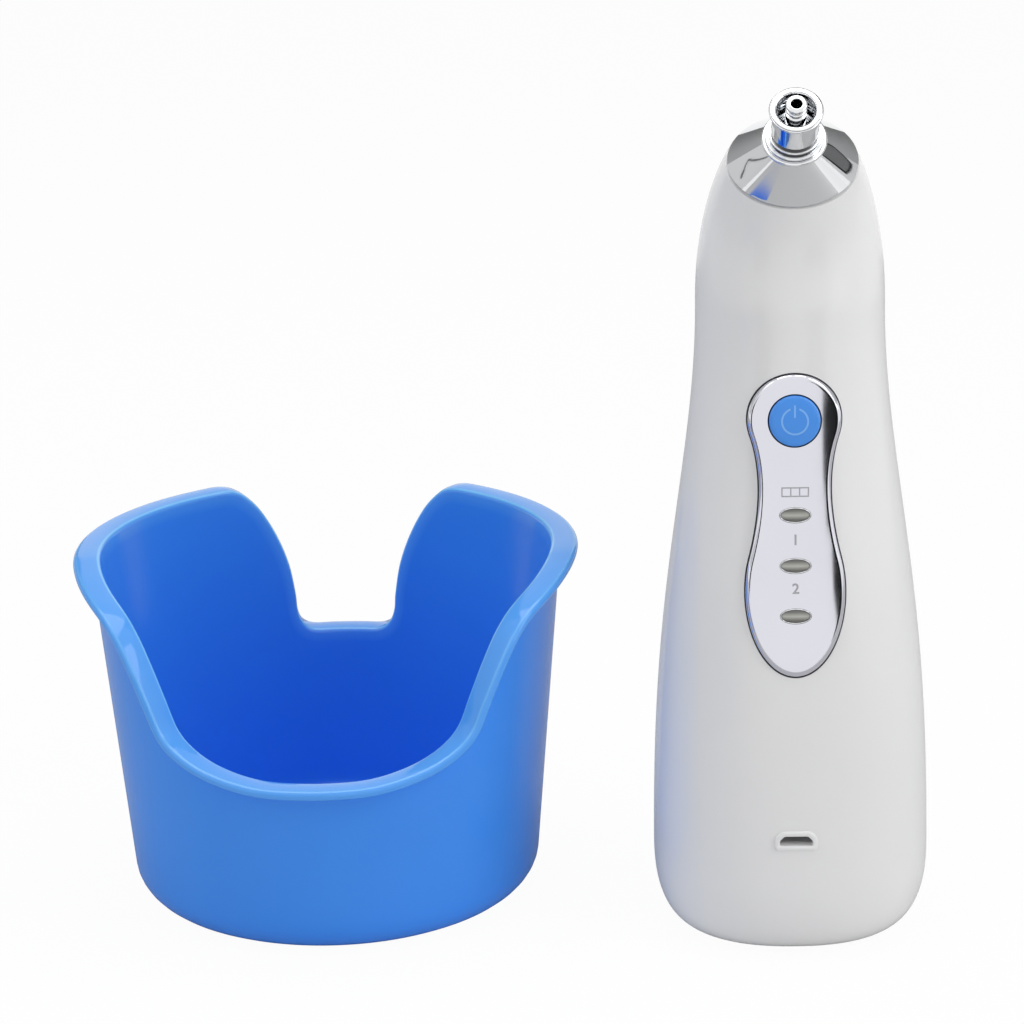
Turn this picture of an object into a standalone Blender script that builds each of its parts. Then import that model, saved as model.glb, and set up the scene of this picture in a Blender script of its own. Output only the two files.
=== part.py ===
"""A hand-held pore vacuum and its open-fronted holder cup, at real size in metres.

The handset stands upright on its base pad and faces -Y.  The origin is the centre of the pad's
underside.  The cup stands by itself at the handset's left, on the same surface.
"""
import math

import bmesh
import bpy
from mathutils import Matrix, Vector

# Fits shared by all pieces
FIT = 0.0003
REACH = 0.08

# Housing: a flared, slightly square base, a round neck and a head that bends forward to the nose
BASE_WIDTH = 0.0602
BASE_DEPTH = 0.0578
NECK_WIDTH = 0.0401
NECK_DEPTH = 0.0385
NECK_HEIGHT = 0.1395
FLARE_POWER = 1.55
BASE_SQUARENESS = 0.3
BASE_ROUND_IN = 0.0105
BASE_ROUND_UP = 0.0185
BASE_ROUND_POWER = 2.5
WALL = 0.0022
FLOOR = 0.0036
SEAM_GAP = 0.0003

# Base pad
PAD_RADIUS = 0.0150
PAD_THICKNESS = 0.0020
PAD_PROUD = 0.0006

# Nose: an oblique oval mouth, a chrome cone on it and the tip socket
NOSE_TILT = math.radians(46)
NOSE_FORWARD = 0.0115
NOSE_HEIGHT = 0.1717
MOUTH_WIDTH = 0.0276
MOUTH_DEPTH = 0.0228
HEAD_POWER = 2.1
HEAD_SWEEP = 1.2
CONE_RISE = 0.0094
CONE_EDGE = 0.0005
CONE_SHADOW_GAP = 0.0003
CONE_SKIN = 0.0016
FLANGE_RADIUS = 0.00675
FLANGE_THICKNESS = 0.0010
FLANGE_STEP = 0.0006
SPIGOT_DEPTH = 0.0030
SPIGOT_WALL = 0.0014
SLEEVE_WALL = 0.0009
SLEEVE_DEPTH = 0.0010
COLLAR_RADIUS = 0.0049
COLLAR_RIM_RADIUS = 0.0054
COLLAR_FOOT_RADIUS = 0.0058
COLLAR_BORE_RADIUS = 0.0038
COLLAR_LENGTH = 0.0099
COLLAR_FOOT_HEIGHT = 0.0020
TUBE_RADIUS = 0.00216
TUBE_BORE_RADIUS = 0.00115
TUBE_PROUD = 0.0024

# Filter cup behind the nose, and the hose
FILTER_RADIUS = 0.0036
FILTER_THICKNESS = 0.0030
FILTER_CUP_WALL = 0.0010
FILTER_CUP_DEPTH = 0.0083
SEAL_THICKNESS = 0.0011
BARB_RADIUS = 0.0017
BARB_BORE_RADIUS = 0.0009
BARB_LENGTH = 0.0050
HOSE_WALL = 0.0010

# Control panel on the front, set out from the button's centre
BUTTON_HEIGHT = 0.1191
BUTTON_RADIUS = 0.00535
BUTTON_PROUD = 0.0006
BUTTON_CROWN = 0.0004
BUTTON_TRAVEL = 0.0006
PANEL_HEAD_RADIUS = 0.00975
PANEL_LOWER_DROP = 0.0366
PANEL_LOWER_HALF_WIDTH = 0.01045
PANEL_LOWER_LENGTH = 0.0180
WAIST_HEAD_ANGLE = math.radians(19)
WAIST_LOWER_ANGLE = math.radians(24)
PANEL_PROUD = 0.0007
PANEL_SINK = 0.0010
PANEL_EDGE_ROUND = 0.0009
PANEL_BOW_RADIUS = 0.0600
LENS_HALF_WIDTH = 0.00305
LENS_HALF_HEIGHT = 0.00140
LENS_FIRST_DROP = 0.0199
LENS_PITCH = 0.01075
LENS_NAMES = ("upper", "middle", "lower")

# Main board behind the panel
BOARD_DEPTH = 0.0085
BOARD_THICKNESS = 0.0012
BOARD_WIDTH = 0.0170
BOARD_ABOVE = 0.0060
BOARD_BELOW = 0.0530
BOARD_BOSS_RADIUS = 0.0021
BOARD_SCREW_DROP = 0.0122
BOARD_SCREW_INSET = 0.0040
SWITCH_SIZE = 0.0060
PLUNGER_RADIUS = 0.0015
LED_SIZE = (0.0030, 0.0016, 0.0012)

# Charging socket low on the front
USB_HEIGHT = 0.0285
USB_OPENING_WIDTH = 0.0070
USB_OPENING_HEIGHT = 0.0021
USB_CHAMFER = 0.0010
USB_RIM_WIDTH = 0.0010
USB_RIM_PROUD = 0.0005
USB_SOCKET_WALL = 0.0003
USB_SOCKET_LENGTH = 0.0055
USB_TONGUE_THICKNESS = 0.0006
USB_BOARD_SIZE = (0.0140, 0.0120, 0.0012)

# Power pack and pump on the chassis
CELL_RADIUS = 0.0092
CELL_LENGTH = 0.0650
CRADLE_WALL = 0.0016
CRADLE_DEPTH = 0.0120
CRADLE_LIFT = 0.0022
SPINE_WIDTH = 0.0100
SPINE_THICKNESS = 0.0016
DECK_THICKNESS = 0.0020
DECK_FRONT = 0.0095
PUMP_RADIUS = 0.0115
MOTOR_LENGTH = 0.0310
CLAMP_HEIGHT = 0.0060
PUMP_HOUSING_LENGTH = 0.0150
PUMP_WALL = 0.0020
DIAPHRAGM_THICKNESS = 0.0012
VALVE_PLATE_THICKNESS = 0.0020
PUMP_CAP_LENGTH = 0.0045
NIPPLE_LENGTH = 0.0060
NIPPLE_OFFSET = 0.0045
SHAFT_RADIUS = 0.0010
ECCENTRIC_RADIUS = 0.0052
ECCENTRIC_LENGTH = 0.0040
CRANK_OFFSET = 0.0026

# Case screws and the vent in the rear shell
SCREW_RADIUS = 0.0012
SCREW_HEAD_RADIUS = 0.0023
SCREW_HEAD_HEIGHT = 0.0017
SCREW_LENGTH = 0.0100
SCREW_SEAT = 0.0035
SCREW_BOSS_RADIUS = 0.0034
LOWER_SCREWS = (0.0180, 0.0400)
UPPER_SCREWS = (0.0105, 0.1450)
VENT_COUNT = 4
VENT_WIDTH = 0.0160
VENT_SLOT = 0.0016
VENT_PITCH = 0.0040
VENT_HEIGHT = 0.0560

# Holder cup
CUP_OFFSET_X = -0.1025
CUP_OFFSET_Y = 0.0230
CUP_HEIGHT = 0.0800
CUP_TOP_RADIUS = 0.0526
CUP_BASE_RADIUS = 0.0455
CUP_BASE_ROUND = 0.0075
CUP_WALL = 0.0023
CUP_FLOOR = 0.0025
LIP_OVERHANG = 0.0038
LIP_THICKNESS = 0.0022
LIP_ROUND = 0.0008
DIP_HEIGHT = 0.0412
NOTCH_HEIGHT = 0.0441
# Half of the lip's path: angle from the front in degrees, and the share of the rise to the rim
DIP_KNOTS = ((0, 0), (14, 0.01), (26, 0.065), (34, 0.14), (39, 0.235), (42.5, 0.40), (46.5, 0.58),
             (51, 0.735), (56.5, 0.84), (65, 0.91), (78, 0.975), (92, 1))
# The same from the back, up one side of the notch
NOTCH_KNOTS = ((0, 0), (4, 0), (9.3, 0.003), (12.3, 0.045), (13.8, 0.13), (14.2, 0.25), (15.6, 0.45),
               (18.5, 0.65), (22.5, 0.83), (26.5, 0.94), (29.5, 0.985), (33, 1), (40, 1))

# Facets
BODY_SIDES = 38
CAVITY_SIDES = 26
NOSE_SIDES = 28
NOZZLE_SIDES = 18
ROUND_SIDES = 14
SMALL_SIDES = 9
LIP_STEPS = 35


def clear_scene():
    for old in list(bpy.data.objects):
        bpy.data.objects.remove(old, do_unlink=True)


def coat(obj, colour, roughness, metallic=0.0):
    """Give an object its own Principled material."""
    material = bpy.data.materials.new(obj.name + "_finish")
    material.use_nodes = True
    shader = material.node_tree.nodes["Principled BSDF"]
    shader.inputs["Base Color"].default_value = (*colour, 1.0)
    shader.inputs["Roughness"].default_value = roughness
    shader.inputs["Metallic"].default_value = metallic
    obj.data.materials.clear()
    obj.data.materials.append(material)
    return obj


WHITE = ((0.86, 0.86, 0.87), 0.25)
CHROME = ((0.85, 0.86, 0.88), 0.06, 1.0)
BLUE = ((0.10, 0.38, 0.88), 0.22)
STEEL = ((0.62, 0.62, 0.63), 0.30, 1.0)
COPPER_GREEN = ((0.04, 0.22, 0.10), 0.50)
BLACK_PLASTIC = ((0.03, 0.03, 0.035), 0.45)
GREY_PLASTIC = ((0.42, 0.43, 0.44), 0.50)
RUBBER = ((0.12, 0.12, 0.13), 0.80)
SILICONE = ((0.80, 0.80, 0.78), 0.55)
LENS_GREY = ((0.45, 0.45, 0.42), 0.25)
FOAM = ((0.88, 0.87, 0.83), 0.95)
CELL_WRAP = ((0.10, 0.30, 0.55), 0.35)


def skin(name, rings, ends="caps"):
    """Skin a list of point rings: "caps" closes both ends, "loop" joins the last ring to the first."""
    mesh_build = bmesh.new()
    loops = [[mesh_build.verts.new(point) for point in ring] for ring in rings]
    pairs = list(zip(loops, loops[1:]))
    if ends == "loop":
        pairs.append((loops[-1], loops[0]))
    for lower, upper in pairs:
        for i in range(len(lower)):
            j = (i + 1) % len(lower)
            mesh_build.faces.new((lower[i], lower[j], upper[j], upper[i]))
    if ends == "caps":
        mesh_build.faces.new(list(reversed(loops[0])))
        mesh_build.faces.new(loops[-1])
    bmesh.ops.recalc_face_normals(mesh_build, faces=mesh_build.faces)
    mesh = bpy.data.meshes.new(name)
    mesh_build.to_mesh(mesh)
    mesh_build.free()
    mesh.shade_smooth()
    mesh.set_sharp_from_angle(angle=math.radians(35))
    obj = bpy.data.objects.new(name, mesh)
    bpy.context.collection.objects.link(obj)
    return obj


def faceted(obj):
    """Split curved faces into flat triangles, so that cuts across them stay exact."""
    mesh_build = bmesh.new()
    mesh_build.from_mesh(obj.data)
    bmesh.ops.triangulate(mesh_build, faces=mesh_build.faces)
    mesh_build.to_mesh(obj.data)
    mesh_build.free()
    return obj


def place(obj, frame):
    """Put an object at a frame: its origin and axes become the frame's."""
    obj.matrix_world = frame
    return obj


def circle(radius, height, sides=ROUND_SIDES, centre=(0.0, 0.0)):
    return [Vector((centre[0] + radius * math.cos(2 * math.pi * i / sides),
                    centre[1] + radius * math.sin(2 * math.pi * i / sides), height))
            for i in range(sides)]


def turned(name, profile, frame, sides=ROUND_SIDES, ends="caps"):
    """Turn (radius, height) points about the frame's own Z axis."""
    return place(skin(name, [circle(r, h, sides) for r, h in profile], ends), frame)


def prism(name, outline, low, high, frame):
    """Extrude an (x, y) outline along the frame's own Z axis."""
    return place(skin(name, [[Vector((x, y, h)) for x, y in outline] for h in (low, high)]), frame)


def box_outline(width, depth, centre=(0.0, 0.0)):
    cx, cy = centre
    return [(cx - width / 2, cy - depth / 2), (cx + width / 2, cy - depth / 2),
            (cx + width / 2, cy + depth / 2), (cx - width / 2, cy + depth / 2)]


def cutter(obj):
    """Mark an object as a tool for cutting or joining, not a piece of the product."""
    obj.hide_render = True
    obj.display_type = "WIRE"
    return obj


def combine(obj, tools, operation="DIFFERENCE"):
    """Cut tools out of an object, join them to it or keep what they share."""
    for tool in tools:
        modifier = obj.modifiers.new(operation.lower(), "BOOLEAN")
        modifier.operation = operation
        modifier.solver = "EXACT"
        modifier.object = cutter(tool)
    return obj


def spline(knots, steps):
    """Smooth curve through (x, y) knots: cubic spans whose slopes come from each knot's neighbours."""
    points = [Vector(knot) for knot in knots]
    padded = [2 * points[0] - points[1]] + points + [2 * points[-1] - points[-2]]
    curve = []
    for a, b, c, d in zip(padded, padded[1:], padded[2:], padded[3:]):
        for step in range(steps):
            t = step / steps
            curve.append(0.5 * (2 * b + (c - a) * t + (2 * a - 5 * b + 4 * c - d) * t ** 2
                                + (3 * b - a - 3 * c + d) * t ** 3))
    curve.append(points[-1])
    return curve


def evenly(curve, steps):
    """The curve again as points spaced evenly along it."""
    lengths = [0.0]
    for a, b in zip(curve, curve[1:]):
        lengths.append(lengths[-1] + (b - a).length)
    points = []
    k = 0
    for step in range(steps):
        goal = lengths[-1] * step / steps
        while lengths[k + 1] < goal:
            k += 1
        share = (goal - lengths[k]) / (lengths[k + 1] - lengths[k])
        points.append(curve[k].lerp(curve[k + 1], share))
    points.append(curve[-1])
    return points


# Housing surface

def flare(z):
    """1 at the base and 0 from the neck up, along a squared cosine."""
    share = min(max(z / NECK_HEIGHT, 0.0), 1.0)
    return math.cos(0.5 * math.pi * share ** FLARE_POWER) ** 2


def body_section(z, inset=0.0):
    """Half width, half depth and power of the housing's level section at z, inset by a wall."""
    spread = flare(z)
    half_width = (NECK_WIDTH + (BASE_WIDTH - NECK_WIDTH) * spread) / 2 - inset
    half_depth = (NECK_DEPTH + (BASE_DEPTH - NECK_DEPTH) * spread) / 2 - inset
    return half_width, half_depth, 2.0 + BASE_SQUARENESS * spread


def body_ring(z, inset=0.0, pull=0.0, sides=BODY_SIDES):
    """One level section of the housing as points, drawn in by pull for the rounded base."""
    half_width, half_depth, power = body_section(z, inset)
    ring = []
    for i in range(sides):
        c = math.cos(2 * math.pi * i / sides)
        s = math.sin(2 * math.pi * i / sides)
        ring.append(Vector((
            math.copysign(abs(c) ** (2 / power), c) * (half_width - pull),
            math.copysign(abs(s) ** (2 / power), s) * (half_depth - pull), z)))
    return ring


# Nose frame: Z out of the oblique mouth, X to the side, Y up the slope
NOSE_CENTRE = Vector((0, -NOSE_FORWARD, NOSE_HEIGHT))
NOSE_FRAME = Matrix.Translation(NOSE_CENTRE) @ Matrix.Rotation(NOSE_TILT, 4, "X")


def head_ring(t, inset=0.0, sides=BODY_SIDES):
    """A section of the bent head, from the level neck (t = 0) to the tilted mouth (t = 1)."""
    start, end = Vector((0, 0, NECK_HEIGHT)), NOSE_CENTRE
    span = (end - start).length
    leave, arrive = Vector((0, 0, span)), NOSE_FRAME.to_3x3() @ Vector((0, 0, HEAD_SWEEP * span))
    centre = (start * (2 * t ** 3 - 3 * t ** 2 + 1) + leave * (t ** 3 - 2 * t ** 2 + t)
              + end * (3 * t ** 2 - 2 * t ** 3) + arrive * (t ** 3 - t ** 2))
    frame = Matrix.Translation(centre) @ Matrix.Rotation(NOSE_TILT * t, 4, "X")

    def closing(neck, mouth):
        return (neck - (neck - mouth) * t ** HEAD_POWER) / 2 - inset

    half_width = closing(NECK_WIDTH, MOUTH_WIDTH)
    half_depth = closing(NECK_DEPTH, MOUTH_DEPTH)
    return [frame @ Vector((half_width * p.x, half_depth * p.y, 0)) for p in circle(1, 0, sides)]


def body_solid(name, inset, foot, sides, round_steps, flare_steps, head_steps):
    """The housing as a solid: rounded base from height foot, flare, and bent head."""
    rings = []
    for i in range(round_steps):
        angle = 0.5 * math.pi * i / round_steps
        rise = 1 - math.cos(angle) ** (2 / BASE_ROUND_POWER)
        pull = BASE_ROUND_IN * (1 - math.sin(angle) ** (2 / BASE_ROUND_POWER))
        rings.append(body_ring(foot + BASE_ROUND_UP * rise, inset, pull, sides))
    flare_foot = foot + BASE_ROUND_UP
    for i in range(flare_steps):
        rings.append(body_ring(flare_foot + (NECK_HEIGHT - flare_foot) * i / flare_steps, inset, 0, sides))
    for i in range(head_steps + 1):
        rings.append(head_ring(math.sin(0.5 * math.pi * i / head_steps), inset, sides))
    if inset > 0:
        out = NOSE_FRAME.to_3x3() @ Vector((0, 0, REACH / 4))
        rings.append([point + out for point in rings[-1]])
    return skin(name, rings)


def front_y(x, z, inset=0.0):
    """How far the housing's front stands forward of the axis at (x, z)."""
    half_width, half_depth, power = body_section(z, inset)
    return half_depth * max(0.0, 1 - abs(x / half_width) ** power) ** (1 / power)


def nose_ring(height, half_width, half_depth):
    """An oval ring round the nose axis."""
    return [Vector((half_width * p.x, half_depth * p.y, height)) for p in circle(1, 0, NOSE_SIDES)]


# Panel frame: Z out of the panel, X to the side, Y up the panel

PANEL_TOP = BUTTON_HEIGHT + PANEL_HEAD_RADIUS
PANEL_BOTTOM = BUTTON_HEIGHT - PANEL_LOWER_DROP - PANEL_LOWER_LENGTH
PANEL_LEAN = math.atan2(front_y(0, PANEL_BOTTOM) - front_y(0, PANEL_TOP), PANEL_TOP - PANEL_BOTTOM)
PANEL_CENTRE = Vector((0, -front_y(0, BUTTON_HEIGHT), BUTTON_HEIGHT))
PANEL_FRAME = Matrix.Translation(PANEL_CENTRE) @ Matrix.Rotation(math.pi / 2 - PANEL_LEAN, 4, "X")


def panel_ground(x, v, inset=0.0):
    """Height of the housing's surface over the panel frame at (x, v)."""
    lean_cos, lean_sin = math.cos(PANEL_LEAN), math.sin(PANEL_LEAN)
    n = 0.0
    for _ in range(6):
        z = BUTTON_HEIGHT + v * lean_cos + n * lean_sin
        n = (front_y(x, z, inset) + PANEL_CENTRE.y + v * lean_sin) / lean_cos
    return n


def panel_face(x, v):
    """Height of the panel's gently bowed face."""
    return panel_ground(0, v) + PANEL_PROUD - x * x / (2 * PANEL_BOW_RADIUS)


def panel_outline(grow=0.0):
    """The panel's outline: a round head on the button, a drawn-in waist and an oval lower lobe."""
    head = PANEL_HEAD_RADIUS
    lobe_x, lobe_y = PANEL_LOWER_HALF_WIDTH, PANEL_LOWER_LENGTH
    right = []
    for i in range(9):
        angle = -math.pi / 2 + (WAIST_LOWER_ANGLE + math.pi / 2) * i / 8
        right.append(Vector((lobe_x * math.cos(angle), -PANEL_LOWER_DROP + lobe_y * math.sin(angle))))
    start = right[-1]
    start_way = Vector((-lobe_x * math.sin(WAIST_LOWER_ANGLE), lobe_y * math.cos(WAIST_LOWER_ANGLE)))
    end = Vector((head * math.cos(WAIST_HEAD_ANGLE), -head * math.sin(WAIST_HEAD_ANGLE)))
    end_way = Vector((math.sin(WAIST_HEAD_ANGLE), math.cos(WAIST_HEAD_ANGLE)))
    span = (end - start).length
    start_way = start_way.normalized() * span
    end_way = end_way * span
    for i in range(1, 6):
        t = i / 6
        right.append(start * (2 * t ** 3 - 3 * t ** 2 + 1) + start_way * (t ** 3 - 2 * t ** 2 + t)
                     + end * (3 * t ** 2 - 2 * t ** 3) + end_way * (t ** 3 - t ** 2))
    for i in range(8):
        angle = -WAIST_HEAD_ANGLE + (WAIST_HEAD_ANGLE + math.pi / 2) * i / 7
        right.append(Vector((head * math.cos(angle), head * math.sin(angle))))
    outline = right + [Vector((-p.x, p.y)) for p in reversed(right[1:-1])]
    grown = []
    for i, point in enumerate(outline):
        along = outline[(i + 1) % len(outline)] - outline[i - 1]
        grown.append(point + grow * Vector((along.y, -along.x)).normalized())
    return grown


def drawn_in(outline, share):
    """The outline shrunk towards the panel's middle, faster across than along."""
    middle = (PANEL_HEAD_RADIUS - PANEL_LOWER_DROP - PANEL_LOWER_LENGTH) / 2
    along = 1 - 0.35 * (1 - share)
    return [Vector((p.x * share, middle + (p.y - middle) * along)) for p in outline]


def panel_sheet(outline, height_at):
    """Rings that carry a curved sheet from the outline to near the panel's middle line."""
    return [[Vector((p.x, p.y, height_at(p.x, p.y))) for p in drawn_in(outline, share)]
            for share in (1.0, 0.6, 0.2)]


def panel_spot(x, v, n):
    return PANEL_FRAME @ Matrix.Translation((x, v, n))


def oval(half_width, half_height, sides=ROUND_SIDES):
    return [(half_width * math.cos(2 * math.pi * i / sides), half_height * math.sin(2 * math.pi * i / sides))
            for i in range(sides)]


def lens_drop(index):
    return LENS_FIRST_DROP + LENS_PITCH * index


# Heights and places that pieces share

HOUSING_FOOT = PAD_PROUD
CAVITY_FOOT = PAD_PROUD + FLOOR
SPINE_BACK = front_y(SPINE_WIDTH / 2, NECK_HEIGHT, WALL) - FIT
SPINE_FRONT = SPINE_BACK - SPINE_THICKNESS
CELL_Y = SPINE_FRONT - FIT - CELL_RADIUS
CRADLE_FOOT = CAVITY_FOOT + CRADLE_LIFT
CELL_FOOT = CRADLE_FOOT + CRADLE_WALL + FIT
DECK_FOOT = CELL_FOOT + CELL_LENGTH + FIT
MOTOR_FOOT = DECK_FOOT + DECK_THICKNESS + FIT
PUMP_Y = SPINE_FRONT - FIT - PUMP_RADIUS
HOUSING_START = MOTOR_FOOT + MOTOR_LENGTH + FIT
DIAPHRAGM_FOOT = HOUSING_START + PUMP_HOUSING_LENGTH + FIT
VALVE_FOOT = DIAPHRAGM_FOOT + DIAPHRAGM_THICKNESS + FIT
CAP_FOOT = VALVE_FOOT + VALVE_PLATE_THICKNESS + FIT
CAP_TOP = CAP_FOOT + PUMP_CAP_LENGTH
PUMP_FRAME = Matrix.Translation((0, PUMP_Y, 0))
BORE_FIT_RADIUS = TUBE_RADIUS + FIT
FILTER_CUP_RADIUS = FILTER_RADIUS + FIT + FILTER_CUP_WALL
SLEEVE_RADIUS = FILTER_CUP_RADIUS + FIT
CONE_CEILING = CONE_RISE - CONE_SKIN
TUBE_FLANGE_TOP = CONE_CEILING - FIT
TUBE_FLANGE_FOOT = TUBE_FLANGE_TOP - FLANGE_THICKNESS
SEAL_TOP = TUBE_FLANGE_FOOT - FIT
FILTER_CUP_TOP = SEAL_TOP
FILTER_CUP_FOOT = FILTER_CUP_TOP - FILTER_CUP_DEPTH
COLLAR_FOOT = CONE_RISE + FIT
COLLAR_TOP = COLLAR_FOOT + COLLAR_LENGTH
HOSE_BORE_RADIUS = BARB_RADIUS + FIT
SCREW_PLACES = [(side * x, z) for x, z in (LOWER_SCREWS, UPPER_SCREWS) for side in (-1, 1)]
BOARD_SCREW_DROPS = (BOARD_SCREW_DROP, BOARD_BELOW - BOARD_SCREW_INSET)


def rod_y(name, radius, low, high, x, z, sides=SMALL_SIDES):
    """A round bar along Y between two depths."""
    frame = Matrix.Translation((x, 0, z)) @ Matrix.Rotation(-math.pi / 2, 4, "X")
    return turned(name, [(radius, low), (radius, high)], frame, sides)


def usb_outline(grow):
    """The socket's outline: upper corners cut off at a slant."""
    half_width = USB_OPENING_WIDTH / 2 + grow
    half_height = USB_OPENING_HEIGHT / 2 + grow
    chamfer = USB_CHAMFER + 0.4 * grow
    return [(-half_width, -half_height), (half_width, -half_height), (half_width, half_height - chamfer),
            (half_width - chamfer, half_height), (chamfer - half_width, half_height),
            (-half_width, half_height - chamfer)]


USB_FRONT = front_y(0, USB_HEIGHT)
USB_INNER = front_y(0, USB_HEIGHT, WALL)
USB_FRAME = Matrix.Translation((0, 0, USB_HEIGHT)) @ Matrix.Rotation(math.pi / 2, 4, "X")
USB_SOCKET_GROW = 2 * USB_SOCKET_WALL
USB_SOCKET_MOUTH = front_y(USB_OPENING_WIDTH / 2 + USB_SOCKET_GROW, USB_HEIGHT, WALL) - FIT
USB_BOARD_TOP = USB_HEIGHT - USB_OPENING_HEIGHT / 2 - USB_SOCKET_GROW - FIT
USB_BOARD_FRONT = front_y(USB_BOARD_SIZE[0] / 2, USB_HEIGHT, WALL) - FIT
USB_LEDGE_TOP = USB_BOARD_TOP - USB_BOARD_SIZE[2] - FIT


# Shells

def half_space(name, front):
    """What lies behind the parting plane, or in front of it, with half of the seam's gap."""
    low, high = (-SEAM_GAP / 2, REACH) if front else (-REACH, SEAM_GAP / 2)
    centre = (0, (low + high) / 2)
    return prism(name, box_outline(2 * REACH, high - low, centre), -REACH, 3 * REACH, Matrix())


def pad_recess(name):
    return turned(name, [(PAD_RADIUS + FIT, -REACH), (PAD_RADIUS + FIT, PAD_THICKNESS + FIT)], Matrix(),
                  BODY_SIDES)


def cavity(name):
    return body_solid(name, WALL, CAVITY_FOOT, CAVITY_SIDES, 3, 6, 6)


def front_shell():
    hollow = cavity("front_hollow")
    pillars = [rod_y("front_pillar", SCREW_BOSS_RADIUS, -REACH, -SEAM_GAP, x, z) for x, z in SCREW_PLACES]
    for drop in BOARD_SCREW_DROPS:
        pillars.append(turned("board_pillar", [(BOARD_BOSS_RADIUS, FIT - BOARD_DEPTH), (BOARD_BOSS_RADIUS, REACH)],
                              panel_spot(0, -drop, 0), SMALL_SIDES))
    ledge = box_outline(USB_BOARD_SIZE[0] - 2 * WALL, REACH, (0, -USB_BOARD_FRONT + USB_BOARD_SIZE[1] - REACH / 2))
    pillars.append(prism("socket_ledge", ledge, USB_LEDGE_TOP - WALL, USB_LEDGE_TOP, Matrix()))
    combine(hollow, pillars)
    shell = body_solid("front_shell", 0, HOUSING_FOOT, BODY_SIDES, 5, 8, 7)
    rim = prism("socket_rim", usb_outline(USB_RIM_WIDTH), USB_INNER + WALL / 2, USB_FRONT + USB_RIM_PROUD, USB_FRAME)
    combine(shell, [rim], "UNION")
    outline = panel_outline(FIT)
    floor = panel_sheet(outline, lambda x, v: panel_ground(x, v) - PANEL_SINK)
    top = [[Vector((p.x, p.y, 10 * PANEL_SINK)) for p in outline]]
    pocket = place(skin("panel_pocket", list(reversed(floor)) + top), PANEL_FRAME)
    cuts = [hollow, half_space("front_parting", True), pad_recess("front_recess"), pocket]
    cuts.append(turned("button_hole", [(BUTTON_RADIUS + FIT, -REACH / 4), (BUTTON_RADIUS + FIT, REACH / 4)],
                       PANEL_FRAME, NOZZLE_SIDES))
    for i, _ in enumerate(LENS_NAMES):
        cuts.append(prism("lens_hole", oval(LENS_HALF_WIDTH + FIT, LENS_HALF_HEIGHT + FIT), -REACH / 4, REACH / 4,
                          panel_spot(0, -lens_drop(i), 0)))
    cuts.append(prism("socket_hole", usb_outline(0), USB_INNER - WALL, USB_FRONT + WALL, USB_FRAME))
    for x, z in SCREW_PLACES:
        cuts.append(rod_y("pilot_hole", SCREW_RADIUS + FIT, -SCREW_LENGTH, REACH, x, z))
    for drop in BOARD_SCREW_DROPS:
        cuts.append(turned("board_pilot", [(SCREW_RADIUS + FIT, -REACH), (SCREW_RADIUS + FIT, -BOARD_DEPTH / 2)],
                           panel_spot(0, -drop, 0), SMALL_SIDES))
    return coat(combine(shell, cuts), *WHITE)


def rear_shell():
    hollow = cavity("rear_hollow")
    combine(hollow, [rod_y("rear_pillar", SCREW_BOSS_RADIUS, SEAM_GAP, REACH, x, z) for x, z in SCREW_PLACES])
    shell = body_solid("rear_shell", 0, HOUSING_FOOT, BODY_SIDES, 5, 8, 7)
    cuts = [hollow, half_space("rear_parting", False), pad_recess("rear_recess")]
    for x, z in SCREW_PLACES:
        cuts.append(rod_y("screw_hole", SCREW_RADIUS + FIT, -REACH, REACH, x, z))
        cuts.append(rod_y("screw_well", SCREW_HEAD_RADIUS + FIT, SCREW_SEAT, REACH, x, z))
    ends = [(VENT_SLOT / 2 * math.cos(a), VENT_SLOT / 2 * math.sin(a))
            for a in [-math.pi / 2 + math.pi * i / 6 for i in range(7)]]
    run = VENT_WIDTH / 2 - VENT_SLOT / 2
    slot = [(run + x, y) for x, y in ends] + [(-run - x, -y) for x, y in ends]
    for i in range(VENT_COUNT):
        frame = Matrix.Translation((0, 0, VENT_HEIGHT + VENT_PITCH * i)) @ Matrix.Rotation(math.pi / 2, 4, "X")
        cuts.append(prism("vent_slot", slot, -REACH, -BASE_DEPTH / 4, frame))
    return coat(combine(shell, cuts), *WHITE)


def base_pad():
    return coat(turned("base_pad", [(PAD_RADIUS, 0), (PAD_RADIUS, PAD_THICKNESS)], Matrix(), BODY_SIDES), *RUBBER)


# Nose pieces

def nose_cone():
    """The chrome cone: an oval skirt that closes to the round flange, with a spigot and a sleeve inside."""
    def seam(inset):
        return MOUTH_WIDTH / 2 - inset, MOUTH_DEPTH / 2 - inset

    skirt = seam(CONE_SHADOW_GAP)
    spigot = seam(WALL + 2 * FIT)
    spigot_inside = seam(WALL + 2 * FIT + SPIGOT_WALL)
    neck = FLANGE_RADIUS - FLANGE_STEP
    sleeve = SLEEVE_RADIUS + SLEEVE_WALL
    profile = [(CONE_RISE, BORE_FIT_RADIUS), (CONE_RISE, FLANGE_RADIUS - FLANGE_STEP / 2),
               (CONE_RISE - FLANGE_STEP / 2, FLANGE_RADIUS), (CONE_RISE - FLANGE_THICKNESS, FLANGE_RADIUS),
               (CONE_RISE - FLANGE_THICKNESS, neck), (FIT + CONE_EDGE, skirt), (FIT, skirt), (FIT, spigot),
               (-SPIGOT_DEPTH, spigot), (-SPIGOT_DEPTH, spigot_inside), (FIT, spigot_inside),
               (CONE_CEILING - CONE_SKIN, sleeve), (-SLEEVE_DEPTH, sleeve), (-SLEEVE_DEPTH, SLEEVE_RADIUS),
               (CONE_CEILING, SLEEVE_RADIUS), (CONE_CEILING, BORE_FIT_RADIUS)]
    rings = [nose_ring(h, *(r if isinstance(r, tuple) else (r, r))) for h, r in profile]
    return coat(place(skin("nose_cone", rings, "loop"), NOSE_FRAME), *CHROME)


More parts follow.
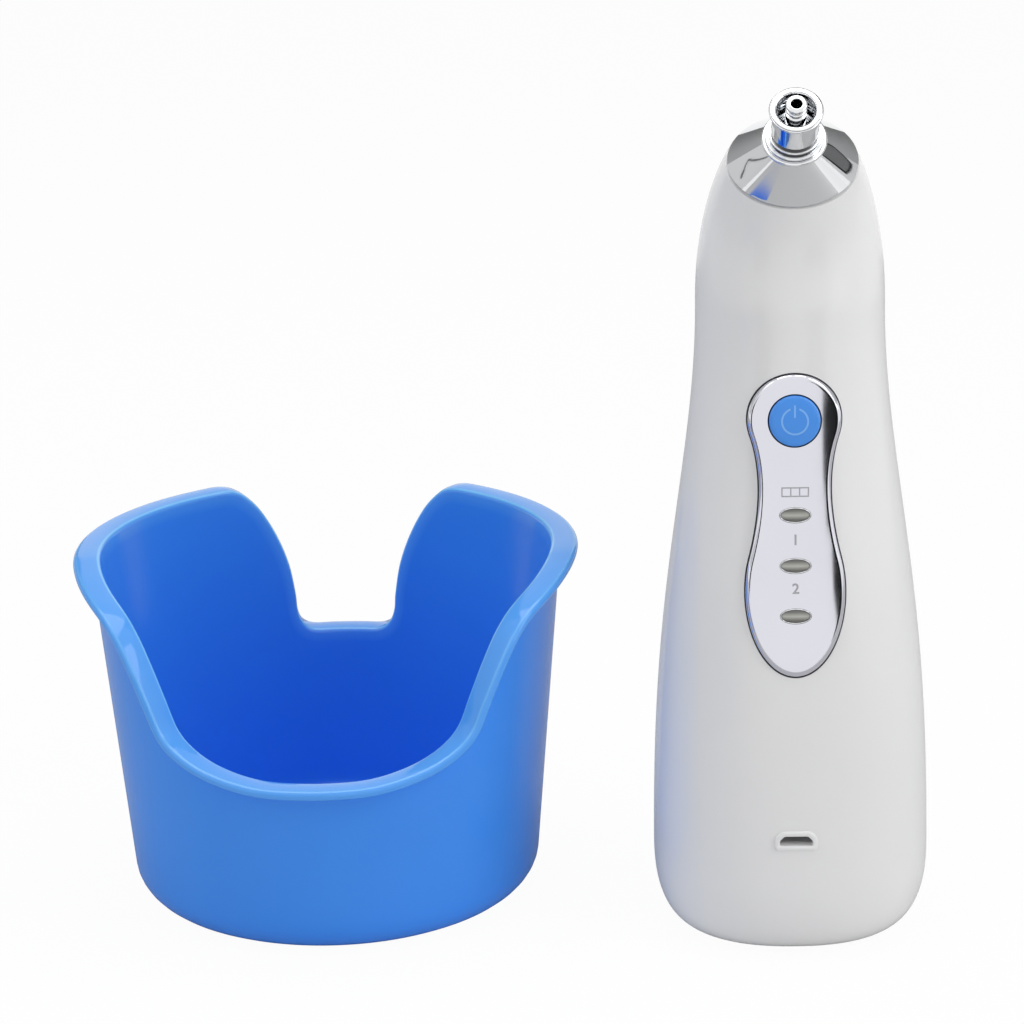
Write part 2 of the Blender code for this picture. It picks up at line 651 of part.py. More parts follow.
def nozzle_collar():
    """The tip socket: a grooved foot, a plain barrel and a rolled rim, bored for the tip."""
    edge = (COLLAR_RADIUS - COLLAR_BORE_RADIUS) / 4
    foot, step = COLLAR_FOOT, COLLAR_FOOT_HEIGHT / 3
    hub = (BORE_FIT_RADIUS + COLLAR_BORE_RADIUS) / 2
    floor = foot + COLLAR_FOOT_HEIGHT
    profile = [(BORE_FIT_RADIUS, foot), (COLLAR_FOOT_RADIUS, foot), (COLLAR_FOOT_RADIUS, foot + step),
               (COLLAR_RADIUS - edge, foot + step), (COLLAR_RADIUS - edge, foot + 2 * step),
               (COLLAR_RADIUS, foot + 3 * step), (COLLAR_RADIUS, COLLAR_TOP - 4 * edge),
               (COLLAR_RIM_RADIUS, COLLAR_TOP - 3 * edge), (COLLAR_RIM_RADIUS, COLLAR_TOP - edge),
               (COLLAR_RIM_RADIUS - edge, COLLAR_TOP), (COLLAR_BORE_RADIUS + edge, COLLAR_TOP),
               (COLLAR_BORE_RADIUS, COLLAR_TOP - edge), (COLLAR_BORE_RADIUS, floor), (hub, floor),
               (hub, floor + 2 * step), (BORE_FIT_RADIUS, floor + 3 * step)]
    return coat(turned("nozzle_collar", profile, NOSE_FRAME, NOZZLE_SIDES, "loop"), *CHROME)


def nozzle_tube():
    top = COLLAR_TOP + TUBE_PROUD
    groove = (TUBE_RADIUS - TUBE_BORE_RADIUS) / 3
    head = 1.5 * TUBE_RADIUS
    profile = [(TUBE_BORE_RADIUS, SEAL_TOP - SEAL_THICKNESS), (TUBE_RADIUS, SEAL_TOP - SEAL_THICKNESS),
               (TUBE_RADIUS, TUBE_FLANGE_FOOT), (FILTER_RADIUS, TUBE_FLANGE_FOOT), (FILTER_RADIUS, TUBE_FLANGE_TOP),
               (TUBE_RADIUS, TUBE_FLANGE_TOP), (TUBE_RADIUS, top - head), (TUBE_RADIUS - groove, top - head + groove),
               (TUBE_RADIUS - groove, top - head / 2), (TUBE_RADIUS, top - head / 2 + groove),
               (TUBE_RADIUS, top - groove), (TUBE_RADIUS - groove, top), (TUBE_BORE_RADIUS, top)]
    return coat(turned("nozzle_tube", profile, NOSE_FRAME, NOZZLE_SIDES, "loop"), *CHROME)


def nozzle_seal():
    minor = SEAL_THICKNESS / 2
    major = TUBE_RADIUS + FIT + minor
    middle = SEAL_TOP - minor
    profile = [(major + minor * math.cos(a), middle + minor * math.sin(a))
               for a in [2 * math.pi * i / 6 for i in range(6)]]
    return coat(turned("nozzle_seal", profile, NOSE_FRAME, ROUND_SIDES, "loop"), *RUBBER)


def filter_cup():
    floor = FILTER_CUP_FOOT + FILTER_CUP_WALL
    barb_end = FILTER_CUP_FOOT - BARB_LENGTH
    bore = FILTER_RADIUS + FIT
    profile = [(BARB_BORE_RADIUS, barb_end), (BARB_RADIUS, barb_end), (BARB_RADIUS, FILTER_CUP_FOOT),
               (FILTER_CUP_RADIUS, FILTER_CUP_FOOT), (FILTER_CUP_RADIUS, FILTER_CUP_TOP), (bore, FILTER_CUP_TOP),
               (bore, floor), (BARB_BORE_RADIUS, floor)]
    return coat(turned("filter_cup", profile, NOSE_FRAME, ROUND_SIDES, "loop"), *GREY_PLASTIC)


def filter_disc():
    foot = FILTER_CUP_FOOT + FILTER_CUP_WALL + FIT
    return coat(turned("filter_disc", [(FILTER_RADIUS, foot), (FILTER_RADIUS, foot + FILTER_THICKNESS)], NOSE_FRAME),
                *FOAM)


def suction_hose():
    """A hose from the pump's nipple to the filter cup's barb, straight where it is pushed on."""
    nose_way = NOSE_FRAME.to_3x3() @ Vector((0, 0, 1))
    low = Vector((0, PUMP_Y + NIPPLE_OFFSET, CAP_TOP + FIT))
    low_end = low + Vector((0, 0, NIPPLE_LENGTH))
    high = NOSE_FRAME @ Vector((0, 0, FILTER_CUP_FOOT - FIT))
    high_end = high - nose_way * BARB_LENGTH
    bend = (high_end - low_end).length / 2.2
    handles = (low_end, low_end + Vector((0, 0, bend)), high_end - nose_way * bend, high_end)
    path = [low]
    for i in range(10):
        t = i / 9
        a, b, c, d = handles
        path.append(a * (1 - t) ** 3 + b * 3 * t * (1 - t) ** 2 + c * 3 * t * t * (1 - t) + d * t ** 3)
    path.append(high)
    outside, inside = [], []
    for i, point in enumerate(path):
        along = path[min(i + 1, len(path) - 1)] - path[max(i - 1, 0)]
        side = Vector((1, 0, 0))
        other = along.normalized().cross(side)
        for rings, radius in ((outside, HOSE_BORE_RADIUS + HOSE_WALL), (inside, HOSE_BORE_RADIUS)):
            rings.append([point + side * p.x + other * p.y for p in circle(radius, 0, SMALL_SIDES)])
    return coat(skin("suction_hose", outside + list(reversed(inside)), "loop"), *SILICONE)


# Front controls

def control_panel():
    outline = panel_outline()
    back = panel_sheet(outline, lambda x, v: panel_ground(x, v) - PANEL_SINK + FIT)
    rings = list(reversed(back))
    for inset, fall in ((0, 1), (0.3, 0.3), (1, 0)):
        edge = panel_outline(-inset * PANEL_EDGE_ROUND)
        rings.append([Vector((p.x, p.y, panel_face(p.x, p.y) - fall * PANEL_EDGE_ROUND)) for p in edge])
    rings += panel_sheet(panel_outline(-PANEL_EDGE_ROUND), panel_face)[1:]
    panel = place(faceted(skin("control_panel", rings)), PANEL_FRAME)
    cuts = [turned("panel_button_hole", [(BUTTON_RADIUS + FIT, -REACH / 4), (BUTTON_RADIUS + FIT, REACH / 4)],
                   PANEL_FRAME, NOZZLE_SIDES)]
    for i, _ in enumerate(LENS_NAMES):
        cuts.append(prism("panel_lens_hole", oval(LENS_HALF_WIDTH + FIT, LENS_HALF_HEIGHT + FIT), -REACH / 4, REACH / 4,
                          panel_spot(0, -lens_drop(i), 0)))
    return coat(combine(panel, cuts), *CHROME)


BUTTON_EDGE = PANEL_PROUD + BUTTON_PROUD
BUTTON_FLANGE_TOP = panel_ground(BUTTON_RADIUS + 2 * FIT, 0, WALL) - 3 * FIT
BUTTON_FLANGE_FOOT = BUTTON_FLANGE_TOP - WALL / 3
SWITCH_FOOT = FIT - BOARD_DEPTH
SWITCH_TOP = BUTTON_FLANGE_FOOT - BUTTON_TRAVEL - 2 * FIT


def power_button():
    crown = [(BUTTON_RADIUS * (1 - i / 4), BUTTON_EDGE + BUTTON_CROWN * (1 - (1 - i / 4) ** 2)) for i in range(4)]
    flange = BUTTON_RADIUS + WALL / 2
    profile = [(flange, BUTTON_FLANGE_FOOT), (flange, BUTTON_FLANGE_TOP), (BUTTON_RADIUS, BUTTON_FLANGE_TOP),
               (BUTTON_RADIUS, BUTTON_EDGE - BUTTON_CROWN)] + [(r - FIT, h) for r, h in crown]
    return coat(turned("power_button", profile, PANEL_FRAME, NOZZLE_SIDES), *BLUE)


def switch_plunger():
    foot = SWITCH_TOP - BUTTON_TRAVEL
    return coat(turned("switch_plunger", [(PLUNGER_RADIUS, foot), (PLUNGER_RADIUS, BUTTON_FLANGE_FOOT - FIT)],
                       PANEL_FRAME, SMALL_SIDES), *BLACK_PLASTIC)


def tact_switch():
    switch = prism("tact_switch", box_outline(SWITCH_SIZE, SWITCH_SIZE), SWITCH_FOOT, SWITCH_TOP, PANEL_FRAME)
    well_foot = SWITCH_TOP - 2 * BUTTON_TRAVEL - FIT
    well = turned("plunger_well", [(PLUNGER_RADIUS + FIT, well_foot), (PLUNGER_RADIUS + FIT, REACH)], PANEL_FRAME,
                  SMALL_SIDES)
    return coat(combine(switch, [well]), *STEEL)


def indicator_lens(index):
    drop = lens_drop(index)
    top = panel_face(0, -drop)
    led_top = SWITCH_FOOT + LED_SIZE[2]
    levels = [(1.0, led_top + 2 * FIT), (1.0, top - FIT), (0.8, top), (0.4, top + FIT / 2)]
    rings = [[Vector((x * share, y * share, h)) for x, y in oval(LENS_HALF_WIDTH, LENS_HALF_HEIGHT)]
             for share, h in levels]
    lens = skin("lens_" + LENS_NAMES[index], rings)
    return coat(place(lens, panel_spot(0, -drop, 0)), *LENS_GREY)


def indicator_led(index):
    width, height, depth = LED_SIZE
    led = prism("led_" + LENS_NAMES[index], box_outline(width, height), SWITCH_FOOT, SWITCH_FOOT + depth,
                panel_spot(0, -lens_drop(index), 0))
    return coat(led, *SILICONE)


def main_board():
    length = BOARD_ABOVE + BOARD_BELOW
    outline = box_outline(BOARD_WIDTH, length, (0, (BOARD_ABOVE - BOARD_BELOW) / 2))
    board = prism("main_board", outline, -BOARD_DEPTH - BOARD_THICKNESS, -BOARD_DEPTH, PANEL_FRAME)
    holes = [turned("board_hole", [(SCREW_RADIUS + FIT, -REACH / 2), (SCREW_RADIUS + FIT, REACH / 2)],
                    panel_spot(0, -drop, 0), SMALL_SIDES) for drop in BOARD_SCREW_DROPS]
    return coat(combine(board, holes), *COPPER_GREEN)


def screw(name, frame, head_radius, head_height, length):
    """A pan-head screw whose head sits at the frame's origin, with its shank along the frame's Z axis."""
    profile = [(0.8 * head_radius, -head_height), (head_radius, -head_height / 2), (head_radius, 0),
               (SCREW_RADIUS, 0), (SCREW_RADIUS, length - SCREW_RADIUS), (SCREW_RADIUS / 3, length)]
    return coat(turned(name, profile, frame, SMALL_SIDES), *STEEL)


def board_screw(index):
    back = -BOARD_DEPTH - BOARD_THICKNESS - FIT
    length = BOARD_THICKNESS + BOARD_DEPTH / 2 - FIT
    return screw(f"board_screw_{index + 1}", panel_spot(0, -BOARD_SCREW_DROPS[index], back),
                 1.6 * SCREW_RADIUS, SCREW_RADIUS, length)


def case_screw(index):
    x, z = SCREW_PLACES[index]
    frame = Matrix.Translation((x, SCREW_SEAT + FIT, z)) @ Matrix.Rotation(math.pi / 2, 4, "X")
    return screw(f"case_screw_{index + 1}", frame, SCREW_HEAD_RADIUS, SCREW_HEAD_HEIGHT, SCREW_LENGTH)


# Charging socket

def usb_socket():
    """A bent-sheet socket with its contact tongue, open at the front."""
    mouth, back = USB_SOCKET_MOUTH, USB_SOCKET_MOUTH - USB_SOCKET_LENGTH
    socket = prism("usb_socket", usb_outline(USB_SOCKET_GROW), back, mouth, USB_FRAME)
    throat = prism("socket_throat", usb_outline(USB_SOCKET_WALL), back + 2 * USB_SOCKET_WALL, mouth + WALL, USB_FRAME)
    tongue = prism("socket_tongue", box_outline(USB_OPENING_WIDTH / 2, USB_TONGUE_THICKNESS, (0, USB_TONGUE_THICKNESS / 2)),
                   back + USB_SOCKET_WALL, mouth - 3 * USB_SOCKET_WALL, USB_FRAME)
    combine(socket, [throat])
    return coat(combine(socket, [tongue], "UNION"), *STEEL)


def usb_board():
    width, depth, thickness = USB_BOARD_SIZE
    outline = box_outline(width, depth, (0, -USB_BOARD_FRONT + depth / 2 + FIT))
    return coat(prism("usb_board", outline, USB_BOARD_TOP - thickness, USB_BOARD_TOP, Matrix()), *COPPER_GREEN)


# Chassis, power pack and pump

def chassis():
    """Battery cradle, spine, pump deck and motor clamp moulded as one piece."""
    cradle = CELL_RADIUS + FIT + CRADLE_WALL
    frame = Matrix.Translation((0, CELL_Y, 0))
    body = turned("chassis", [(cradle / 2, CAVITY_FOOT + FIT), (cradle / 2, CRADLE_FOOT), (cradle, CRADLE_FOOT),
                              (cradle, CRADLE_FOOT + CRADLE_DEPTH)], frame)
    spine_box = box_outline(SPINE_WIDTH, SPINE_THICKNESS, (0, SPINE_FRONT + SPINE_THICKNESS / 2))
    spine = prism("spine", spine_box, CRADLE_FOOT + CRADLE_DEPTH / 2, CAP_FOOT, Matrix())
    deck_ring = [body_ring(z, WALL + FIT, 0, CAVITY_SIDES) for z in (DECK_FOOT, DECK_FOOT + DECK_THICKNESS)]
    deck = skin("deck", deck_ring)
    front = box_outline(2 * REACH, REACH, (0, -DECK_FRONT - REACH / 2))
    combine(deck, [prism("deck_front", front, 0, 2 * REACH, Matrix())])
    clamp_foot = MOTOR_FOOT + MOTOR_LENGTH / 2
    clamp = turned("clamp", [(PUMP_RADIUS + FIT + CRADLE_WALL, clamp_foot),
                             (PUMP_RADIUS + FIT + CRADLE_WALL, clamp_foot + CLAMP_HEIGHT)], PUMP_FRAME, CAVITY_SIDES)
    combine(body, [spine, deck, clamp], "UNION")
    cell_room = turned("cell_room", [(CELL_RADIUS + FIT, CELL_FOOT - FIT), (CELL_RADIUS + FIT, DECK_FOOT)], frame)
    motor_room = turned("motor_room", [(PUMP_RADIUS + FIT, MOTOR_FOOT - FIT), (PUMP_RADIUS + FIT, 3 * REACH)],
                        PUMP_FRAME, CAVITY_SIDES)
    return coat(combine(body, [cell_room, motor_room]), *BLACK_PLASTIC)


def battery_cell():
    lip = CELL_RADIUS / 12
    button = CELL_RADIUS / 3
    top = CELL_FOOT + CELL_LENGTH
    profile = [(CELL_RADIUS - lip, CELL_FOOT), (CELL_RADIUS, CELL_FOOT + lip), (CELL_RADIUS, top - 3 * lip),
               (CELL_RADIUS - lip, top - 2 * lip), (button, top - 2 * lip), (button, top)]
    return coat(turned("battery_cell", profile, Matrix.Translation((0, CELL_Y, 0))), *CELL_WRAP)


def pump_motor():
    boss = PUMP_RADIUS / 3
    top = MOTOR_FOOT + MOTOR_LENGTH
    lip = PUMP_RADIUS / 10
    hole = SHAFT_RADIUS + FIT
    profile = [(boss, MOTOR_FOOT), (boss, MOTOR_FOOT + lip), (PUMP_RADIUS - lip, MOTOR_FOOT + lip),
               (PUMP_RADIUS, MOTOR_FOOT + 2 * lip), (PUMP_RADIUS, top - lip), (PUMP_RADIUS - lip, top),
               (hole, top), (hole, top - MOTOR_LENGTH / 3)]
    return coat(turned("pump_motor", profile, PUMP_FRAME), *STEEL)


SHAFT_TOP = HOUSING_START + PUMP_WALL + ECCENTRIC_LENGTH
ECCENTRIC_FOOT = HOUSING_START + PUMP_WALL + FIT
CRANK_TOP = SHAFT_TOP + ECCENTRIC_LENGTH / 2


def motor_shaft():
    foot = MOTOR_FOOT + MOTOR_LENGTH * 2 / 3 + FIT
    return coat(turned("motor_shaft", [(SHAFT_RADIUS, foot), (SHAFT_RADIUS, SHAFT_TOP - FIT)], PUMP_FRAME, SMALL_SIDES),
                *STEEL)


def eccentric():
    """The crank wheel on the motor shaft with its offset pin."""
    wheel = turned("eccentric", [(ECCENTRIC_RADIUS, ECCENTRIC_FOOT), (ECCENTRIC_RADIUS, SHAFT_TOP)], PUMP_FRAME)
    pin = turned("crank_pin", [(SHAFT_RADIUS, ECCENTRIC_FOOT + FIT), (SHAFT_RADIUS, CRANK_TOP)],
                 PUMP_FRAME @ Matrix.Translation((CRANK_OFFSET, 0, 0)), SMALL_SIDES)
    bore = turned("shaft_bore", [(SHAFT_RADIUS + FIT, 0), (SHAFT_RADIUS + FIT, SHAFT_TOP + FIT)], PUMP_FRAME, SMALL_SIDES)
    combine(wheel, [pin], "UNION")
    return coat(combine(wheel, [bore]), *BLACK_PLASTIC)


def pump_housing():
    top = HOUSING_START + PUMP_HOUSING_LENGTH
    shaft_hole = 3 * SHAFT_RADIUS
    room = PUMP_RADIUS - PUMP_WALL
    profile = [(shaft_hole, HOUSING_START), (PUMP_RADIUS, HOUSING_START), (PUMP_RADIUS, top), (room, top),
               (room, HOUSING_START + PUMP_WALL), (shaft_hole, HOUSING_START + PUMP_WALL)]
    return coat(turned("pump_housing", profile, PUMP_FRAME, ROUND_SIDES, "loop"), *BLACK_PLASTIC)


def wobble_plate():
    """The disc that the crank pin rocks under the diaphragm."""
    foot = SHAFT_TOP + FIT
    room = PUMP_RADIUS - PUMP_WALL
    top = DIAPHRAGM_FOOT - FIT
    groove = CRANK_OFFSET + SHAFT_RADIUS + FIT
    profile = [(groove, foot), (room - 3 * FIT, foot), (room - 3 * FIT, foot + PUMP_WALL),
               (groove + PUMP_WALL, foot + PUMP_WALL), (groove + PUMP_WALL, top), (groove, top)]
    return coat(turned("wobble_plate", profile, PUMP_FRAME, ROUND_SIDES, "loop"), *GREY_PLASTIC)


def diaphragm():
    return coat(turned("diaphragm", [(PUMP_RADIUS, DIAPHRAGM_FOOT), (PUMP_RADIUS, DIAPHRAGM_FOOT + DIAPHRAGM_THICKNESS)],
                       PUMP_FRAME), *RUBBER)


def valve_plate():
    plate = turned("valve_plate", [(PUMP_RADIUS, VALVE_FOOT), (PUMP_RADIUS, VALVE_FOOT + VALVE_PLATE_THICKNESS)], PUMP_FRAME)
    ports = [turned("valve_port", [(BARB_BORE_RADIUS, 0), (BARB_BORE_RADIUS, 3 * REACH)],
                    PUMP_FRAME @ Matrix.Rotation(2 * math.pi * i / 3, 4, "Z") @ Matrix.Translation((PUMP_RADIUS / 2, 0, 0)),
                    SMALL_SIDES) for i in range(3)]
    return coat(combine(plate, ports), *GREY_PLASTIC)


def pump_cap():
    """The pump's lid with its suction nipple behind and its exhaust nipple in front."""
    lip = PUMP_CAP_LENGTH / 4
    cap = turned("pump_cap", [(PUMP_RADIUS, CAP_FOOT), (PUMP_RADIUS, CAP_TOP - lip), (PUMP_RADIUS - lip, CAP_TOP)], PUMP_FRAME)
    nipples, bores = [], []
    for side in (1, -1):
        spot = PUMP_FRAME @ Matrix.Translation((0, side * NIPPLE_OFFSET, 0))
        nipples.append(turned("nipple", [(BARB_RADIUS, CAP_TOP - lip), (BARB_RADIUS, CAP_TOP + NIPPLE_LENGTH)], spot, SMALL_SIDES))
        bores.append(turned("nipple_bore", [(BARB_BORE_RADIUS, 0), (BARB_BORE_RADIUS, 3 * REACH)], spot, SMALL_SIDES))
    combine(cap, nipples, "UNION")
    return coat(combine(cap, bores), *BLACK_PLASTIC)


# Holder cup

def cup_radius(z):
    return CUP_BASE_RADIUS + (CUP_TOP_RADIUS - CUP_BASE_RADIUS) * z / CUP_HEIGHT


def cup_point(angle, z, inward=0.0):
    """A point on the cup's outer wall, or inward of it; angle 0 faces the front."""
    radius = cup_radius(z) - inward
    return Vector((radius * math.sin(angle), -radius * math.cos(angle), z))


def lip_path():
    """The lip's closed path as (angle, height): the front dip, the rim, the rear notch and back."""
    knots = [(a, DIP_HEIGHT + share * (CUP_HEIGHT - DIP_HEIGHT)) for a, share in DIP_KNOTS]
    knots += [(180 - a, NOTCH_HEIGHT + share * (CUP_HEIGHT - NOTCH_HEIGHT)) for a, share in reversed(NOTCH_KNOTS)]
    reach = math.degrees(1 / CUP_TOP_RADIUS)
    half = evenly(spline([(a / reach, z) for a, z in knots], 8), LIP_STEPS)
    half = [(math.radians(p.x * reach), p.y) for p in half]
    return half + [(2 * math.pi - a, z) for a, z in reversed(half[1:-1])]


def holder_cup():
    path = lip_path()
    count = len(path)
    rim = [cup_point(a, z) for a, z in path]
    lengths = [0.0]
    for i in range(count):
        lengths.append(lengths[-1] + (rim[(i + 1) % count] - rim[i]).length)
    base_angles = [2 * math.pi * length / lengths[-1] for length in lengths[:-1]]
    outline = [(0, -LIP_THICKNESS), (LIP_OVERHANG - LIP_ROUND, -LIP_THICKNESS), (LIP_OVERHANG, -LIP_THICKNESS / 2),
               (LIP_OVERHANG - LIP_ROUND, 0), (LIP_ROUND - CUP_WALL, 0), (-CUP_WALL, -LIP_ROUND)]
    lip = [[] for _ in outline]
    roots = []
    for i in range(count):
        along = (rim[(i + 1) % count] - rim[i - 1]).normalized()
        out = Vector((math.sin(path[i][0]), -math.cos(path[i][0]), 0))
        out = (out - along * out.dot(along)).normalized()
        up = out.cross(along)
        for ring, (a, b) in zip(lip, outline):
            ring.append(rim[i] + out * a + up * b)
        root = rim[i] - up * LIP_THICKNESS
        turns = path[i][0] + math.atan2(root.x, -root.y) - math.atan2(math.sin(path[i][0]), math.cos(path[i][0]))
        turns += 2 * math.pi * round((path[i][0] - turns) / (2 * math.pi))
        roots.append((turns, root.z))
    shares = (0.0, 0.33, 0.67)

    def wall_rings(foot, inward):
        rings = []
        for share in shares:
            rings.append([cup_point(b + (a - b) * share, foot + (z - foot) * share, inward)
                          for b, (a, z) in zip(base_angles, roots)])
        return rings

    def floor_rings(inward, low, rounding):
        rings = []
        for step in range(3):
            turn = 0.5 * math.pi * step / 3
            rings.append([cup_point(b, low + rounding * (1 - math.cos(turn)), inward + rounding * (1 - math.sin(turn)))
                          for b in base_angles])
        return rings

    inner_round = CUP_BASE_ROUND - CUP_WALL
    rings = floor_rings(0, 0, CUP_BASE_ROUND) + wall_rings(CUP_BASE_ROUND, 0) + lip
    rings += list(reversed(wall_rings(CUP_FLOOR + inner_round, CUP_WALL)))
    rings += list(reversed(floor_rings(CUP_WALL, CUP_FLOOR, inner_round)))
    cup = skin("holder_cup", rings)
    return coat(place(cup, Matrix.Translation((CUP_OFFSET_X, CUP_OFFSET_Y, 0))), *BLUE)


def main():
    clear_scene()
    for build in (front_shell, rear_shell, base_pad, nose_cone, nozzle_collar, nozzle_tube, nozzle_seal, filter_cup,
                  filter_disc, suction_hose, control_panel, power_button, switch_plunger, tact_switch, main_board,
                  usb_socket, usb_board, chassis, battery_cell, pump_motor, motor_shaft, eccentric, pump_housing,
                  wobble_plate, diaphragm, valve_plate, pump_cap, holder_cup):
        build()
    for index, _ in enumerate(LENS_NAMES):
        indicator_lens(index)
        indicator_led(index)
    for index, _ in enumerate(BOARD_SCREW_DROPS):
        board_screw(index)
    for index, _ in enumerate(SCREW_PLACES):
        case_screw(index)


main()
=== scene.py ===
# %% [markdown]
# # A pore vacuum and its holder cup
#
# The real object is a white hand-held suction tool with a chrome nose, and a blue cup that it is kept in.
# The exact solids are already there as a frame.  This lesson dresses them: each visible piece is made
# again as a fine smooth surface, in the same place, and every piece gets a finish made of shader nodes.

# %% Load the frame
import math

import bpy
import numpy as np
from mathutils import Matrix, Vector


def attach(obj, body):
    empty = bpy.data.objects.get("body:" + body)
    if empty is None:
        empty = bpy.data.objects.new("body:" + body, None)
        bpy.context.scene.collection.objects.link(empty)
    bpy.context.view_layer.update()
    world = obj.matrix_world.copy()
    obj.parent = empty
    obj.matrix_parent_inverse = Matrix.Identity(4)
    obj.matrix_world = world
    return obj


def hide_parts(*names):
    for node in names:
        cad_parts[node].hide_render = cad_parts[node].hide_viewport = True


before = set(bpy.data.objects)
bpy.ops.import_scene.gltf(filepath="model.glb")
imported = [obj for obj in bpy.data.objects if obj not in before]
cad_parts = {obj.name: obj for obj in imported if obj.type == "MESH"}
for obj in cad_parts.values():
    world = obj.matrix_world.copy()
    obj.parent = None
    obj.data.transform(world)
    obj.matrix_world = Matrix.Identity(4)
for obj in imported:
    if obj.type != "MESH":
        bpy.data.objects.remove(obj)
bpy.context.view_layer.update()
scene = bpy.context.scene
scene.view_settings.view_transform = "Standard"

# %% [markdown]
# ## Camera
#
# The picture was taken from a little above with a long lens, so upright lines stay almost parallel.
# Three angles place the camera: how far round the object it stands, how far it looks down, and a small
# roll.  The lens length follows from the focal length in pixels: 36 mm of sensor cover 1024 pixels.

# %% Place the camera
CAMERA_PLACE = Vector((-0.0360, -0.7161, 0.3116))
CAMERA_ROUND = math.radians(1.91)
CAMERA_DOWN = math.radians(16.9)
CAMERA_ROLL = math.radians(-1.37)
FOCAL_PIXELS = 3466

forward = Vector((-math.sin(CAMERA_ROUND) * math.cos(CAMERA_DOWN),
                  math.cos(CAMERA_ROUND) * math.cos(CAMERA_DOWN), -math.sin(CAMERA_DOWN)))
level_right = forward.cross(Vector((0, 0, 1))).normalized()
level_up = level_right.cross(forward)
right = level_right * math.cos(CAMERA_ROLL) + level_up * math.sin(CAMERA_ROLL)
up = right.cross(forward)
camera_data = bpy.data.cameras.new("camera")
camera_data.sensor_width = 36.0
camera_data.lens = 36.0 * FOCAL_PIXELS / 1024
camera = bpy.data.objects.new("camera", camera_data)
camera.matrix_world = Matrix.Translation(CAMERA_PLACE) @ Matrix((right, up, -forward)).transposed().to_4x4()
scene.collection.objects.link(camera)
scene.camera = camera
print("lens in mm:", round(camera_data.lens, 1))

# %% [markdown]
# ## From arrays to meshes
#
# Every surface here is a grid of points: rows times columns, worked out as one numpy array.  Neighbouring
# rows and columns make the quads.  A solid has caps on its first and last row, and a ring-shaped piece
# joins its last row to its first.  The sign of the enclosed volume tells which way the faces point, so
# one test turns them outwards.

# %% Grid helpers
CREASE = 38


def linked(name, data):
    """A new object for a mesh, a lamp or a text, put in the scene."""
    obj = bpy.data.objects.new(name, data)
    scene.collection.objects.link(obj)
    return obj


def settled(obj):
    """The mesh of an object as it is after its modifiers, or of a text."""
    return bpy.data.meshes.new_from_object(obj.evaluated_get(bpy.context.evaluated_depsgraph_get()))


def smooth(mesh, crease):
    """Smooth shading, with sharp edges where faces meet at more than crease degrees."""
    mesh.shade_smooth()
    mesh.set_sharp_from_angle(angle=math.radians(crease))


def grid_faces(rows, cols, join_rows):
    """Quads between neighbours: corner number = row times cols plus column, columns always closed."""
    i = np.arange(rows if join_rows else rows - 1)[:, None]
    j = np.arange(cols)[None, :]
    below, above, beside = i * cols, (i + 1) % rows * cols, (j + 1) % cols
    return np.stack([below + j, below + beside, above + beside, above + j], axis=-1).reshape(-1, 4)


def skin(name, grid, ends="caps", crease=CREASE):
    """Mesh object from a (rows, cols, 3) grid: closed by "caps" or joined into a "loop"."""
    rows, cols = grid.shape[:2]
    points = grid.reshape(-1, 3)
    quads = grid_faces(rows, cols, ends == "loop")
    a, b, c, d = (points[quads[:, k]] for k in range(4))
    volume = np.einsum("ij,ij->", a, np.cross(b, c)) + np.einsum("ij,ij->", a, np.cross(c, d))
    faces = quads.tolist()
    if ends == "caps":
        first, last = np.arange(cols), (rows - 1) * cols + np.arange(cols)
        for loop in (first[::-1], last):
            fan = points[loop]
            spokes = np.broadcast_to(fan[0], fan[1:-1].shape)
            volume += np.einsum("ij,ij->", spokes, np.cross(fan[1:-1], fan[2:]))
            faces.append(loop.tolist())
    if volume < 0:
        faces = [face[::-1] for face in faces]
    mesh = bpy.data.meshes.new(name)
    mesh.from_pydata(points.tolist(), [], faces)
    smooth(mesh, crease)
    return linked(name, mesh)


def turns(count):
    """Angles of count columns round a full turn."""
    return np.linspace(0, 2 * np.pi, count, endpoint=False)


def placed(points, matrix):
    """Points of a local grid carried to the object's own frame by a 4 x 4 matrix."""
    m = np.array(matrix)
    return points @ m[:3, :3].T + m[:3, 3]


def turned(name, profile, matrix, cols=96, ends="caps"):
    """Surface of revolution: (radius, height) rows swept round the matrix's own Z axis."""
    radius, height = np.array(profile, float).T
    angle = turns(cols)
    grid = np.stack([radius[:, None] * np.cos(angle), radius[:, None] * np.sin(angle),
                     np.repeat(height[:, None], cols, axis=1)], axis=-1)
    return skin(name, placed(grid, matrix), ends)


def extruded(name, outline, low, high, matrix):
    """Prism: an (n, 2) outline carried along the matrix's own Z axis from low to high."""
    flat = np.asarray(outline, float)
    grid = np.stack([np.column_stack([flat, np.full(len(flat), h)]) for h in (low, high)])
    return skin(name, placed(grid, matrix))


def carve(obj, tools):
    """Cut with exact Booleans, and keep only the resulting mesh."""
    for tool in tools:
        modifier = obj.modifiers.new("carve", "BOOLEAN")
        modifier.operation = "DIFFERENCE"
        modifier.solver = "EXACT"
        modifier.object = tool
    result = settled(obj)
    obj.modifiers.clear()
    obj.data = result
    for tool in tools:
        bpy.data.objects.remove(tool, do_unlink=True)
    smooth(result, CREASE)
    return obj


def unit(vectors):
    """Each vector divided by its length."""
    return vectors / np.linalg.norm(vectors, axis=-1, keepdims=True)


def cubic(t, start, leave, end, arrive):
    """The cubic that runs from start to end as t goes from 0 to 1, with these slopes at its ends."""
    return (start * (2 * t ** 3 - 3 * t ** 2 + 1) + leave * (t ** 3 - 2 * t ** 2 + t)
            + end * (3 * t ** 2 - 2 * t ** 3) + arrive * (t ** 3 - t ** 2))


